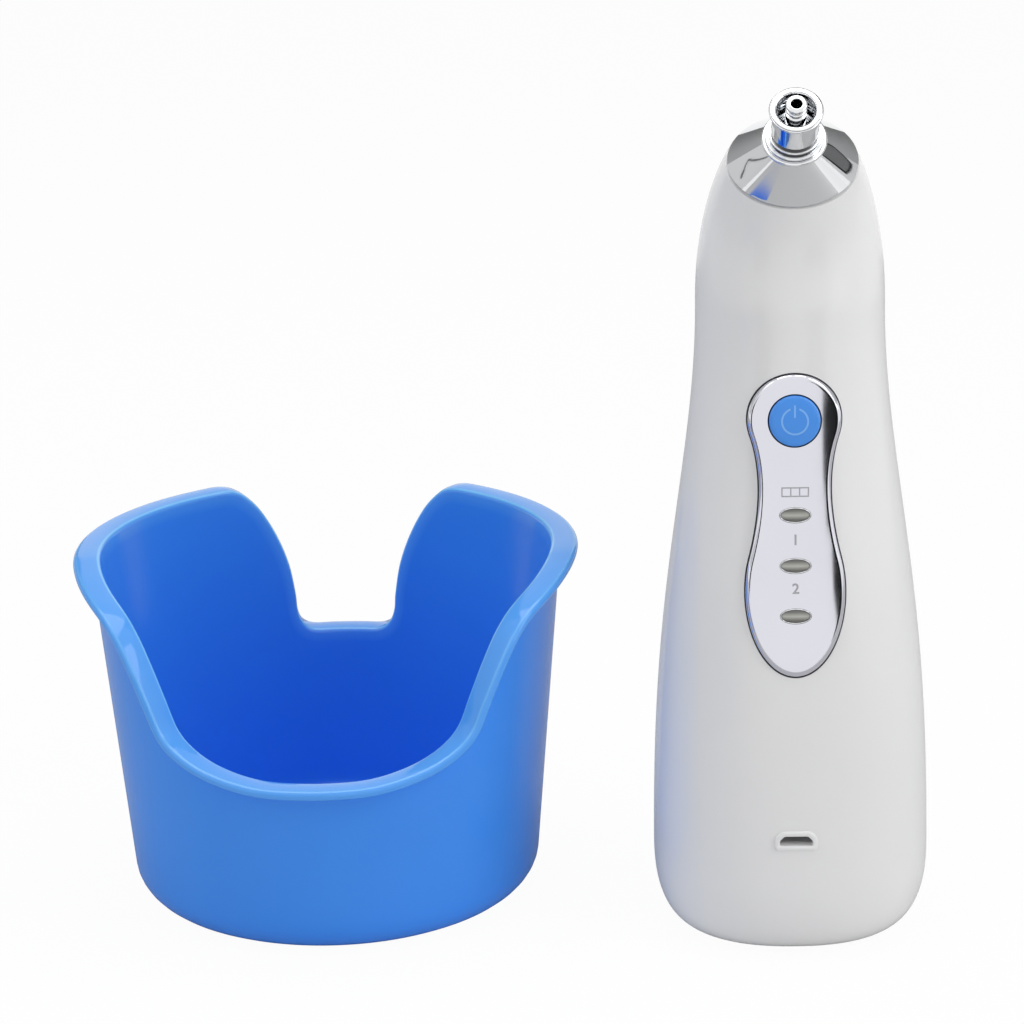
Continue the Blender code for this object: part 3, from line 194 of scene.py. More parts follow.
def smooth_path(knots, steps):
    """Curve through the knots: cubic spans; the slope at a knot is half the step between neighbours."""
    p = np.array(knots, float)
    p = np.vstack([2 * p[0] - p[1], p, 2 * p[-1] - p[-2]])
    t = np.linspace(0, 1, steps, endpoint=False)[None, :, None]
    a, b, c, d = (p[k:len(p) - 3 + k, None, :] for k in range(4))
    spans = cubic(t, b, (c - a) / 2, c, (d - b) / 2)
    return np.vstack([spans.reshape(-1, p.shape[1]), p[-2]])


def evenly(curve, count):
    """The same curve as count + 1 points at equal distances along it."""
    run = np.concatenate([[0], np.cumsum(np.linalg.norm(np.diff(curve, axis=0), axis=1))])
    goal = np.linspace(0, run[-1], count + 1)
    return np.stack([np.interp(goal, run, column) for column in curve.T], axis=-1)


print("helpers ready")

# %% [markdown]
# ## Shader maths as Python expressions
#
# A finish is a small tree of nodes.  Writing `0.3 + 0.1 * speckle` is easier to read than wiring two Math
# nodes, so one class wraps a socket and turns Python's operators into Math nodes.  Any other node comes
# from its method `node`.

# %% The socket class
def operator(operation):
    """A method that joins a tone with a tone or a number by one Math node."""
    return lambda self, other: self.math(operation, self, other)


class Tone:
    """A shader socket that Python's operators work on; each operation adds a Math node."""

    def __init__(self, tree, socket=None):
        self.tree, self.socket = tree, socket

    def node(self, kind, settings=(), inputs=(), output=0):
        """Add a node: its settings first, then numbers, colours or tones on its sockets."""
        made = self.tree.nodes.new(kind)
        for key, value in dict(settings).items():
            setattr(made, key, value)
        for key, value in dict(inputs).items():
            if isinstance(value, Tone):
                self.tree.links.new(value.socket, made.inputs[key])
            else:
                made.inputs[key].default_value = value
        return Tone(self.tree, made.outputs[output] if made.outputs else None)

    def math(self, operation, first, second=0.0):
        return self.node("ShaderNodeMath", {"operation": operation}, {0: first, 1: second})

    def __rsub__(self, other):
        return self.math("SUBTRACT", other, self)

    __add__ = __radd__ = operator("ADD")
    __sub__ = operator("SUBTRACT")
    __mul__ = __rmul__ = operator("MULTIPLY")
    __truediv__ = operator("DIVIDE")
    __pow__ = operator("POWER")
    __lt__ = operator("LESS_THAN")
    __gt__ = operator("GREATER_THAN")

    def size(self):
        return self.math("ABSOLUTE", self)

    def place(self):
        """Object coordinates, which are metres in the object's own frame."""
        return self.node("ShaderNodeTexCoord", output="Object")

    def speckle(self, scale, detail=2.0):
        """Noise between 0 and 1; scale is in cycles per metre."""
        inputs = {"Vector": self.place(), "Scale": scale, "Detail": detail}
        return self.node("ShaderNodeTexNoise", inputs=inputs)

    def mix(self, share, first, second):
        """Colour between two colours."""
        return self.node("ShaderNodeMix", {"data_type": "RGBA"}, {"Factor": share, 6: first, 7: second}, 2)

    def bump(self, height, distance):
        """Bent normals as if the surface rose by distance where height is 1."""
        return self.node("ShaderNodeBump", inputs={"Height": height, "Distance": distance, "Strength": 1.0})

    def local(self, matrix):
        """Object coordinates seen from a local frame, as three tones."""
        inverse = matrix.inverted()
        inputs = {"Vector": self.place(), "Location": inverse.to_translation()}
        inputs["Rotation"] = inverse.to_euler()
        seen = self.node("ShaderNodeMapping", inputs=inputs)
        split = self.node("ShaderNodeSeparateXYZ", inputs={0: seen})
        return [Tone(self.tree, split.socket.node.outputs[k]) for k in range(3)]


def finish(name, recipe, **constants):
    """A Principled material: constants are set on its sockets, and the recipe's tones are linked to them."""
    material = bpy.data.materials.new(name)
    material.use_nodes = True
    tree = material.node_tree
    shader = tree.nodes["Principled BSDF"]
    for key, value in constants.items():
        shader.inputs[key.replace("_", " ").title().replace("Ior", "IOR")].default_value = value
    for key, tone in recipe(Tone(tree)).items():
        tree.links.new(tone.socket, shader.inputs[key])
    return material


def uneven(low, high, rough, spread=0.1, scale=300.0, gloss_scale=600.0):
    """Recipe: a colour between two close ones, and a roughness from rough up to rough + spread."""
    def recipe(t):
        return {"Base Color": t.mix(t.speckle(scale), (*low, 1), (*high, 1)),
                "Roughness": rough + spread * t.speckle(gloss_scale)}
    return recipe


def coat(mesh, material):
    """Give a mesh one finish only."""
    mesh.materials.clear()
    mesh.materials.append(material)


def dress(obj, material, body, replaces=()):
    """Give a piece its finish, the body it rides on, and the nodes it stands for."""
    coat(obj.data, material)
    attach(obj, body)
    if replaces:
        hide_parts(*replaces)
    print(obj.name, "faces:", len(obj.data.polygons))


print("shader class ready")

# %% [markdown]
# ## White moulded plastic
#
# The housing is glossy white plastic.  Real mouldings are never quite even: the gloss changes a little
# where the plastic flowed, and the surface has a faint orange-peel ripple that softens reflections.

# %% White plastic
def white_plastic(t):
    """Colour drifts by a hundredth over centimetres, gloss by a little more, with a fine ripple."""
    drift = t.speckle(38.0)
    return {"Base Color": t.mix(drift, (0.79, 0.79, 0.795, 1), (0.82, 0.82, 0.82, 1)),
            "Roughness": 0.19 + 0.07 * t.speckle(160.0),
            "Normal": t.bump(t.speckle(420.0, 1.0), 0.00002)}


WHITE = finish("white_plastic", white_plastic, coat_weight=0.15, coat_roughness=0.08)

# %% [markdown]
# ## Housing
#
# The housing is a bottle with a flared, slightly square base, a round neck, and a head that bends forward
# until it faces the nose.  Below the neck a section is a superellipse: a circle whose power is a little
# more than two.  Above it each section turns with the bend and closes to the oval mouth.  The same
# function with an inset gives the inner wall.

# %% Housing surface
BASE_WIDTH, BASE_DEPTH = 0.0602, 0.0578
NECK_WIDTH, NECK_DEPTH, NECK_HEIGHT = 0.0401, 0.0385, 0.1395
FLARE_POWER, SQUARENESS = 1.55, 0.3
ROUND_IN, ROUND_UP, ROUND_POWER = 0.0105, 0.0185, 2.5
WALL, FLOOR, FOOT = 0.0022, 0.0036, 0.0006
NOSE_TILT = math.radians(46)
NOSE_CENTRE = Vector((0, -0.0115, 0.1717))
NOSE = Matrix.Translation(NOSE_CENTRE) @ Matrix.Rotation(NOSE_TILT, 4, "X")
MOUTH_WIDTH, MOUTH_DEPTH, HEAD_POWER, HEAD_SWEEP = 0.0276, 0.0228, 2.1, 1.2


def flare(z):
    """Squared cosine of a power of the height: 1 at the base, 0 at the neck and above."""
    return np.cos(0.5 * np.pi * np.clip(z / NECK_HEIGHT, 0, 1) ** FLARE_POWER) ** 2


def section(z, inset=0.0):
    """Half width, half depth and power of the level section at height z."""
    spread = flare(z)
    return ((NECK_WIDTH + (BASE_WIDTH - NECK_WIDTH) * spread) / 2 - inset,
            (NECK_DEPTH + (BASE_DEPTH - NECK_DEPTH) * spread) / 2 - inset, 2 + SQUARENESS * spread)


def level_rows(z, pull, angle, inset):
    """Superellipse rows: x = width times |cos| to the power 2/n, y = depth times |sin| to the same."""
    width, depth, power = (value[:, None] for value in section(z, inset))
    c, s = np.cos(angle), np.sin(angle)
    x = np.sign(c) * np.abs(c) ** (2 / power) * (width - pull[:, None])
    y = np.sign(s) * np.abs(s) ** (2 / power) * (depth - pull[:, None])
    return np.stack([x, y, np.repeat(z[:, None], len(angle), axis=1)], axis=-1)


def head_rows(t, angle, inset):
    """Ellipses whose centre follows a cubic from the neck to the mouth and whose plane tilts with it."""
    span = (NOSE_CENTRE - Vector((0, 0, NECK_HEIGHT))).length
    tilt = NOSE_TILT * t
    sweep = HEAD_SWEEP * span
    cy = cubic(t, 0, 0, NOSE_CENTRE.y, -sweep * math.sin(NOSE_TILT))
    cz = cubic(t, NECK_HEIGHT, span, NOSE_CENTRE.z, sweep * math.cos(NOSE_TILT))

    def closing(neck, mouth):
        return (neck - (neck - mouth) * t ** HEAD_POWER) / 2 - inset

    x = closing(NECK_WIDTH, MOUTH_WIDTH)[:, None] * np.cos(angle)
    along = closing(NECK_DEPTH, MOUTH_DEPTH)[:, None] * np.sin(angle)
    return np.stack([x, cy[:, None] + along * np.cos(tilt)[:, None],
                     cz[:, None] + along * np.sin(tilt)[:, None]], axis=-1)


def housing_grid(inset, foot, cols, round_rows, flare_rows, head_count):
    """Rows of the rounded base, the flare and the bent head, one above the other."""
    angle = turns(cols)
    a = np.linspace(0, 0.5 * np.pi, round_rows, endpoint=False)
    rise = 1 - np.cos(a) ** (2 / ROUND_POWER)
    pull = ROUND_IN * (1 - np.sin(a) ** (2 / ROUND_POWER))
    z = np.linspace(foot + ROUND_UP, NECK_HEIGHT, flare_rows, endpoint=False)
    t = np.linspace(0, 1, head_count)
    rows = [level_rows(foot + ROUND_UP * rise, pull, angle, inset), level_rows(z, 0 * z, angle, inset),
            head_rows(t, angle, inset)]
    return np.concatenate(rows)


def front_y(x, z):
    """How far the front stands out: depth times (1 - |x / width|^n)^(1 / n)."""
    width, depth, power = section(np.asarray(z, float))
    return depth * np.clip(1 - np.abs(x / width) ** power, 0, None) ** (1 / power)


print("mouth centre in mm:", [round(1000 * c, 1) for c in NOSE_CENTRE])

# %% [markdown]
# ## Where the panel lies
#
# The control panel leans back a little, along the chord of the front between its ends.  Its own frame has
# X to the side, Y up the panel and Z out of it, with the origin on the housing under the button.

# %% Panel frame and outline
BUTTON_Z, HEAD_RADIUS = 0.1191, 0.00975
LOBE_DROP, LOBE_HALF, LOBE_LENGTH = 0.0366, 0.01045, 0.0180
WAIST_HEAD, WAIST_LOBE = math.radians(19), math.radians(24)
PANEL_PROUD, PANEL_SINK, PANEL_EDGE, PANEL_BOW = 0.0007, 0.0010, 0.0009, 0.0600
FIT, SHRINK_ALONG = 0.0003, 0.35
panel_top, panel_bottom = BUTTON_Z + HEAD_RADIUS, BUTTON_Z - LOBE_DROP - LOBE_LENGTH
LEAN = math.atan2(front_y(0, panel_bottom) - front_y(0, panel_top), panel_top - panel_bottom)
PANEL = (Matrix.Translation((0, -float(front_y(0, BUTTON_Z)), BUTTON_Z))
         @ Matrix.Rotation(math.pi / 2 - LEAN, 4, "X"))


def panel_ground(x, v):
    """Height of the housing over the panel frame, found by stepping to the surface a few times."""
    n = np.zeros(np.broadcast(x, v).shape)
    for _ in range(6):
        z = BUTTON_Z + v * math.cos(LEAN) + n * math.sin(LEAN)
        n = (front_y(x, z) - front_y(0, BUTTON_Z) + v * math.sin(LEAN)) / math.cos(LEAN)
    return n


def panel_face(x, v):
    """The panel's face: the housing's middle line raised, and bowed across with a large radius."""
    return panel_ground(0 * x, v) + PANEL_PROUD - x ** 2 / (2 * PANEL_BOW)


def panel_outline(grow=0.0, steps=40):
    """Right side from the lobe's foot to the head's top: ellipse, cubic waist, circle; then mirrored."""
    a = np.linspace(-np.pi / 2, WAIST_LOBE, steps)
    lobe = np.stack([LOBE_HALF * np.cos(a), -LOBE_DROP + LOBE_LENGTH * np.sin(a)], axis=-1)
    b = np.linspace(-WAIST_HEAD, np.pi / 2, steps)
    head = HEAD_RADIUS * np.stack([np.cos(b), np.sin(b)], axis=-1)
    start, end = lobe[-1], head[0]
    span = np.linalg.norm(end - start)
    leave = unit(np.array([-LOBE_HALF * math.sin(WAIST_LOBE), LOBE_LENGTH * math.cos(WAIST_LOBE)]))
    arrive = np.array([math.sin(WAIST_HEAD), math.cos(WAIST_HEAD)])
    waist = cubic(np.linspace(0, 1, steps)[1:-1, None], start, span * leave, end, span * arrive)
    side = evenly(np.concatenate([lobe, waist, head]), 3 * steps)
    outline = np.concatenate([side, side[-2:0:-1] * (-1, 1)])
    along = unit(np.roll(outline, -1, axis=0) - np.roll(outline, 1, axis=0))
    return outline + grow * np.stack([along[:, 1], -along[:, 0]], axis=-1)


def drawn_in(outline, share):
    """The outline shrunk towards the panel's middle, faster across than along."""
    middle = (HEAD_RADIUS - LOBE_DROP - LOBE_LENGTH) / 2
    along = 1 - SHRINK_ALONG * (1 - share)
    return np.stack([outline[:, 0] * share, middle + (outline[:, 1] - middle) * along], axis=-1)


def raised(line, height):
    """The (x, v) points of a line lifted to height(x, v)."""
    return np.column_stack([line, height(line[:, 0], line[:, 1])])


def sheet_rows(outline, shares, height):
    """Rows of a curved sheet: the outline at each share, lifted to height(x, v)."""
    return np.stack([raised(drawn_in(outline, share), height) for share in shares])


def oval(half_width, half_height, cols=48):
    """Ellipse: half width times cosine, half height times sine."""
    a = turns(cols)
    return np.stack([half_width * np.cos(a), half_height * np.sin(a)], axis=-1)


def spot(v):
    """The panel's frame moved up the panel by v."""
    return PANEL @ Matrix.Translation((0, v, 0))


BUTTON_RADIUS = 0.00535
LENS_HALF, LENS_TALL = 0.00305, 0.00140
LENS_DROPS = {"upper": 0.01990, "middle": 0.03065, "lower": 0.04140}
print("panel leans back by", round(math.degrees(LEAN), 1), "degrees")

# %% [markdown]
# ## Cutting the two shells
#
# The housing is moulded in two halves that meet at the sides.  The fine grid gives the outer solid and a
# plainer one the hollow; pillars for the screws are taken out of the hollow first, so that they stay
# standing in the wall.  Exact Booleans then open the panel's pocket, the button and lens holes, the
# charging opening, the screw wells and the vent.

# %% Charging opening outline
USB_Z, USB_WIDE, USB_TALL, USB_CUT = 0.0285, 0.0070, 0.0021, 0.0010
USB_PLAY, USB_CORNER = 0.0001, 0.0003
USB = Matrix.Translation((0, 0, USB_Z)) @ Matrix.Rotation(math.pi / 2, 4, "X")


def usb_outline(grow, radius, steps=6):
    """Six-cornered opening with slanted upper corners, each corner an arc of the given radius."""
    w, h, cut = USB_WIDE / 2 + grow, USB_TALL / 2 + grow, USB_CUT + 0.4 * grow
    corners = np.array([(-w, -h), (w, -h), (w, h - cut), (w - cut, h), (cut - w, h), (-w, h - cut)])
    start = corners + radius * unit(np.roll(corners, 1, axis=0) - corners)
    end = corners + radius * unit(np.roll(corners, -1, axis=0) - corners)
    t = np.linspace(0, 1, steps)[None, :, None]
    arcs = start[:, None] * (1 - t) ** 2 + 2 * corners[:, None] * t * (1 - t) + end[:, None] * t ** 2
    return arcs.reshape(-1, 2)


print("charging opening corners:", len(usb_outline(0, USB_CORNER)))

# %% Shells
REACH, SEAM_GAP, CUT = 0.08, 0.0003, 0.02
PAD_RADIUS, PAD_TOP, POCKET_HIGH = 0.0153, 0.0023, 0.012
SHEET_SHARES = (0.05, 0.3, 0.6, 0.85, 1.0)
SCREW_RADIUS, SCREW_HEAD, SCREW_SEAT, PILLAR = 0.0012, 0.0023, 0.0035, 0.0034
SCREWS = [(side * x, z) for x, z in ((0.0180, 0.0400), (0.0105, 0.1450)) for side in (-1, 1)]


def rod_y(name, radius, low, high, x, z):
    """A round bar along Y between two depths."""
    matrix = Matrix.Translation((x, 0, z)) @ Matrix.Rotation(-math.pi / 2, 4, "X")
    return turned(name, [(radius, low), (radius, high)], matrix, 40)


def hollow(pillars):
    """The inner solid, running out of the mouth, with the pillars taken out of it."""
    grid = housing_grid(WALL, FOOT + FLOOR, 64, 6, 24, 14)
    out = np.array(NOSE.to_3x3() @ Vector((0, 0, REACH / 4)))
    return carve(skin("hollow", np.concatenate([grid, grid[-1:] + out])), pillars)


def parting(front):
    """A block behind or in front of the plane where the halves meet."""
    low, high = (-SEAM_GAP / 2, REACH) if front else (-REACH, SEAM_GAP / 2)
    block = [(-REACH, low), (REACH, low), (REACH, high), (-REACH, high)]
    return extruded("parting", block, -REACH, 3 * REACH, Matrix())


def pad_recess():
    """Round seat of the rubber foot."""
    return turned("recess", [(PAD_RADIUS, -CUT), (PAD_RADIUS, PAD_TOP)], Matrix())


def half_cuts(front):
    """Cutters for both halves: the hollow without its pillars, the other half and the foot's seat."""
    low, high = (-REACH, -SEAM_GAP) if front else (SEAM_GAP, REACH)
    pillars = [rod_y("pillar", PILLAR, low, high, x, z) for x, z in SCREWS]
    return [hollow(pillars), parting(front), pad_recess()]


def housing_solid(name):
    """The outer form of the whole housing, on a fine grid."""
    return skin(name, housing_grid(0, FOOT, 176, 20, 84, 52))


def below_housing(depth):
    """Height function of a sheet that lies under the housing's surface by depth."""
    return lambda x, v: panel_ground(x, v) - depth


def panel_holes():
    """Cutters for the round button hole and the three oval lens holes."""
    cutters = [turned("button_hole", [(BUTTON_RADIUS + FIT, -CUT), (BUTTON_RADIUS + FIT, CUT)], PANEL)]
    for drop in LENS_DROPS.values():
        outline = oval(LENS_HALF + FIT, LENS_TALL + FIT)
        cutters.append(extruded("lens_hole", outline, -CUT, CUT, spot(-drop)))
    return cutters


pocket_rows = sheet_rows(panel_outline(FIT), SHEET_SHARES, below_housing(PANEL_SINK))
pocket_top = pocket_rows[-1:] * (1, 1, 0) + (0, 0, POCKET_HIGH)
pocket = skin("pocket", placed(np.concatenate([pocket_rows, pocket_top]), PANEL))
front_cuts = half_cuts(True) + [pocket] + panel_holes()
front_cuts.append(extruded("usb_hole", usb_outline(USB_PLAY, USB_CORNER), CUT, 2 * CUT, USB))
front = carve(housing_solid("shell_front"), front_cuts)
dress(front, WHITE, "handset", ["front_shell"])

# %% Rear shell
VENT_HALF, VENT_ROUND, VENT_DEPTH = 0.0072, 0.0008, 0.0145
VENT_LOW, VENT_PITCH, VENT_COUNT = 0.0560, 0.0040, 4
vent_arc = np.linspace(-np.pi / 2, np.pi / 2, 13)
vent_end = VENT_ROUND * np.stack([np.cos(vent_arc), np.sin(vent_arc)], axis=-1) + (VENT_HALF, 0)
vent_slot = np.concatenate([vent_end, -vent_end])
rear_cuts = half_cuts(False)
for x, z in SCREWS:
    rear_cuts.append(rod_y("well", SCREW_HEAD + FIT, SCREW_SEAT, REACH, x, z))
    rear_cuts.append(rod_y("bore", SCREW_RADIUS + FIT, -REACH, REACH, x, z))
for k in range(VENT_COUNT):
    vent_place = Matrix.Translation((0, 0, VENT_LOW + VENT_PITCH * k)) @ Matrix.Rotation(math.pi / 2, 4, "X")
    rear_cuts.append(extruded("vent", vent_slot, -REACH, -VENT_DEPTH, vent_place))
rear = carve(housing_solid("shell_rear"), rear_cuts)
dress(rear, WHITE, "handset", ["rear_shell"])

# %% [markdown]
# ## Chrome nose
#
# The nose is plated plastic: a mirror with a trace of softness.  The cone is a ruled surface: straight
# lines run from an oval round the mouth to the round flange.  The tip socket on it is turned, with grooves
# at its foot, a rolled rim and a screw thread inside that holds a tip.  Its profile is a list of (radius,
# height) points with heights from its foot.  Dark metal bands paint the shade in the grooves and paint two
# fine dark reflections as lines on the rim; each band is given as (low, high, inner radius, outer radius).

# %% Chrome
# The gloss changes slightly in broad patches, as plating over plastic does.
plating = uneven((0.80, 0.81, 0.83), (0.84, 0.85, 0.86), 0.035, 0.03, 90.0, 240.0)
CHROME = finish("chrome_plate", plating, metallic=1.0)
# Painted shade and painted reflection: this dark metal stands for the shade deep in the grooves,
# and for two fine dark lines on the rim, where the rim mirrors dark edges.
shaded = uneven((0.035, 0.035, 0.04), (0.07, 0.07, 0.075), 0.28, 0.1, 300.0, 500.0)
PAINTED_DARK_METAL = finish("painted_dark_metal", shaded, metallic=0.6)

# %% Cone, collar and tube
CONE_RISE, FLANGE_RADIUS = 0.0094, 0.00675
COLLAR_FOOT, COLLAR_TALL = CONE_RISE + FIT, 0.0099
SOCKET = NOSE @ Matrix.Translation((0, 0, COLLAR_FOOT))
COLLAR_BORE, THREAD_DEPTH, THREAD_PITCH = 0.0039, 0.00025, 0.0010
TUBE_RADIUS, TUBE_BORE = 0.00216, 0.00115


def nose_rows(heights, half_widths, half_depths, cols=128):
    """Oval rows round the nose axis."""
    a = turns(cols)
    h, w, d = (np.array(value, float)[:, None] for value in (heights, half_widths, half_depths))
    return np.stack([w * np.cos(a), d * np.sin(a), h + 0 * a], axis=-1)


CONE_EDGE, FLANGE_ROUND = 0.0006, 0.0005
hole = TUBE_RADIUS + FIT
neck = FLANGE_RADIUS - CONE_EDGE
plug = ((-0.003, 0.0045), (-0.003, 0.0028), (FIT, 0.0028), (FIT, 0.0002), (FIT + CONE_EDGE / 2, 0.0))
plug_h, plug_in = np.array(plug).T
share = np.linspace(0, 1, 24)
cone_h = (FIT + CONE_EDGE) + (CONE_RISE - 2 * FLANGE_ROUND - 0.0001 - FIT - CONE_EDGE) * share
turn = np.linspace(0, np.pi, 13)
flange_r = FLANGE_RADIUS - FLANGE_ROUND + FLANGE_ROUND * np.sin(turn)
flange_h = CONE_RISE - FLANGE_ROUND - FLANGE_ROUND * np.cos(turn)
heights = np.concatenate([plug_h, cone_h, flange_h, [CONE_RISE, CONE_RISE - 0.0016]])
widths, depths = (np.concatenate([skirt - plug_in, skirt + (neck - skirt) * share, flange_r, [hole, hole]])
                  for skirt in (MOUTH_WIDTH / 2 - FIT, MOUTH_DEPTH / 2 - FIT))
cone = nose_rows(heights, widths, depths)
dress(skin("nose_skirt", placed(cone, NOSE), "loop"), CHROME, "handset", ["nose_cone"])


def arc(radius, height, bend, start, stop, count=7):
    """Points of a rounded corner: centre (radius, height), angles in degrees from outwards to up."""
    a = np.radians(np.linspace(start, stop, count))
    return [(radius + bend * math.cos(x), height + bend * math.sin(x)) for x in a]


collar = [(hole, 0.0), (0.0058, 0.0)] + arc(0.0058, 0.0003, 0.0003, -90, 90)
collar += [(0.0049, 0.0006), (0.0049, 0.0013)] + arc(0.0052, 0.0015, 0.0002, -90, 90)
collar += [(0.0047, 0.0017), (0.0047, 0.0025), (0.00492, 0.0027), (0.00492, COLLAR_TALL - 0.0011)]
collar += arc(0.0052, COLLAR_TALL - 0.0004, 0.00035, -60, 90)
collar += arc(0.0043, COLLAR_TALL - 0.00035, 0.0003, 90, 180) + [(COLLAR_BORE, COLLAR_TALL - 0.0009)]
thread = [COLLAR_TALL - 0.0012 - THREAD_PITCH / 2 * k for k in range(12)]
collar += [(COLLAR_BORE - THREAD_DEPTH * (k % 2), level) for k, level in enumerate(thread)]
collar += [(COLLAR_BORE, 0.0022), (0.0032, 0.0022), (0.0030, 0.0038), (hole, 0.0040)]
dress(turned("tip_socket", collar, SOCKET, 128, "loop"), CHROME, "handset", ["nozzle_collar"])
top = COLLAR_FOOT + COLLAR_TALL + 0.0024
tube = [(TUBE_BORE, 0.0051), (TUBE_RADIUS, 0.0051), (TUBE_RADIUS, top - 0.0034)]
tube += [(0.00175, top - 0.0032), (0.00175, top - 0.0026)] + arc(0.00182, top - 0.0022, 0.00036, -90, 90)
tube += [(0.00172, top - 0.0017), (0.00172, top - 0.0013)] + arc(0.00186, top - 0.0007, 0.00034, -90, 80)
tube += arc(TUBE_BORE + 0.0002, top - 0.00045, 0.0002, 90, 180)
dress(turned("suction_tube", tube, NOSE, 96, "loop"), CHROME, "handset", ["nozzle_tube"])
# Painted shade in the grooves and painted dark reflections on the rim, as thin rings of dark metal.
PAINTED_DARK_BANDS = {"groove_shade_lower": (0.0006, 0.0013, 0.00454, 0.00494),
              "groove_shade_upper": (0.0017, 0.0025, 0.00434, 0.00474),
              "rim_reflection_inner": (0.0096, 0.00989, 0.00424, 0.00436),
              "rim_reflection_outer": (0.0096, 0.00989, 0.00516, 0.00528)}
BAND_GAP = 0.00002
for name, (low, high, inner, outer) in PAINTED_DARK_BANDS.items():
    foot, top = low + BAND_GAP, high - BAND_GAP
    band = [(inner, foot), (outer, foot), (outer, top), (inner, top)]
    dress(turned(name, band, SOCKET, 96, "loop"), PAINTED_DARK_METAL, "handset")

# %% [markdown]
# ## Control panel
#
# The panel is a plated mirror with a lavender cast.  It is a bowed sheet with a rolled edge: rows run up
# the side, round the edge on a quarter circle and then across the face.  Holes for the button and the
# lenses are cut afterwards, and thin bright rims sit in the lens holes.

# %% Panel
tinted = uneven((0.72, 0.72, 0.79), (0.76, 0.76, 0.82), 0.06, 0.04, 60.0, 200.0)
MIRROR = finish("panel_mirror", tinted, metallic=1.0)
back_rows = sheet_rows(panel_outline(), SHEET_SHARES, below_housing(PANEL_SINK - FIT))
edge_rows = []
for a in np.linspace(0, np.pi / 2, 9):
    line = raised(panel_outline(-PANEL_EDGE * (1 - math.cos(a))), panel_face)
    edge_rows.append(line - (0, 0, PANEL_EDGE * (1 - math.sin(a))))
face_rows = sheet_rows(panel_outline(-PANEL_EDGE), np.linspace(0.97, 0.05, 26), panel_face)
panel = skin("panel_plate", placed(np.concatenate([back_rows, np.stack(edge_rows), face_rows]), PANEL))
dress(carve(panel, panel_holes()), MIRROR, "handset", ["control_panel"])

# %% [markdown]
# Painted shade: a thin matt black ring fills the narrow gap round the panel and draws a fine dark line
# where the gap is in shadow.  It is a flat ring: four rows that follow the panel's outline, two near the
# panel and two near the housing.

# %% Painted shade in the panel's gap
# Painted shade: black where the gap round the panel lies in shadow.
gap_shade_black = uneven((0.020, 0.020, 0.022), (0.035, 0.035, 0.040), 0.6, 0.1, 900.0, 1200.0)
GAP_SHADE = finish("painted_gap_shade", gap_shade_black)
SHADE_PLAY, SHADE_LOW, SHADE_HIGH = 0.00003, 0.0008, 0.0001
near, far = SHADE_PLAY, FIT - SHADE_PLAY
corners = ((near, SHADE_LOW), (near, SHADE_HIGH), (far, SHADE_HIGH), (far, SHADE_LOW))
shade_rows = [raised(panel_outline(grow), below_housing(sink)) for grow, sink in corners]
dress(skin("panel_gap_shade", placed(np.stack(shade_rows), PANEL), "loop"), GAP_SHADE, "handset")

# %% [markdown]
# ## Lenses and printed marks
#
# Each lens is a smoky oval window, painted lighter in a band across its middle: a painted highlight.  Its
# bright rim is a small ring swept round an oval.  The printed marks are thin films that follow the panel: a
# cell with three bars, and the numbers of the two levels.

# %% Lenses
HIGHLIGHT_BAND = 0.0009


def lens_grey(t):
    """Smoky plastic with a painted highlight: a lighter band across its middle."""
    _, v, _ = t.local(PANEL)
    highlight_bands = None
    for drop in LENS_DROPS.values():
        near = 1 - (v + drop).size() / HIGHLIGHT_BAND
        band = t.math("MAXIMUM", near, 0.0)
        highlight_bands = band if highlight_bands is None else t.math("MAXIMUM", highlight_bands, band)
    # Painted highlight: the base colour is lighter in a band across the middle of each lens.
    return {"Base Color": t.mix(highlight_bands, (0.15, 0.15, 0.14, 1), (0.46, 0.46, 0.42, 1)),
            "Roughness": 0.14 + 0.08 * t.speckle(700.0)}


LENS = finish("lens_smoke", lens_grey, coat_weight=0.4, coat_roughness=0.05)
LENS_FOOT, LENS_RIM, LENS_RING, RING_LIFT = -0.0055, 0.00012, 0.0001, 0.00003
LENS_CROWN = ((1.0, -0.00025), (0.97, -0.0001), (0.85, -0.00002), (0.6, 0.00008), (0.3, 0.00013),
              (0.05, 0.00015))
for name, drop in LENS_DROPS.items():
    flat = oval(LENS_HALF, LENS_TALL)
    rows = [np.column_stack([flat, np.full(len(flat), LENS_FOOT)])]
    for part, lift in LENS_CROWN:
        rows.append(raised(flat * part, lambda x, v: panel_face(x, v - drop) + lift))
    window = skin("window_" + name, placed(np.stack(rows), spot(-drop)))
    dress(window, LENS, "handset", ["lens_" + name])
    a, b = turns(64)[None, :], turns(10)[:, None]
    wide = (LENS_HALF + LENS_RIM + LENS_RING * np.cos(b)) * np.cos(a)
    tall = (LENS_TALL + LENS_RIM + LENS_RING * np.cos(b)) * np.sin(a)
    high = panel_face(wide, tall - drop) + RING_LIFT + LENS_RING * np.sin(b)
    ring = np.stack([wide, tall, high], axis=-1)
    dress(skin("window_rim_" + name, placed(ring, spot(-drop)), "loop"), CHROME, "handset")

# %% Printed marks
INK = finish("mark_ink", uneven((0.36, 0.36, 0.39), (0.43, 0.43, 0.46), 0.45, 0.1, 1500.0, 900.0))
FILM, FILM_UNDER = 0.00003, -0.00002
LEVEL_MARKS, NUMERAL_SIZE, NUMERAL_WEIGHT = {"1": -0.0252, "2": -0.0356}, 0.0031, 0.00006
LINE, BAR_WIDE, BAR_STEP = 0.00014, 0.00035, 0.00092
CELL_V, CELL_TALL, CELL_WIDE = -0.0150, 0.0009, 0.00275


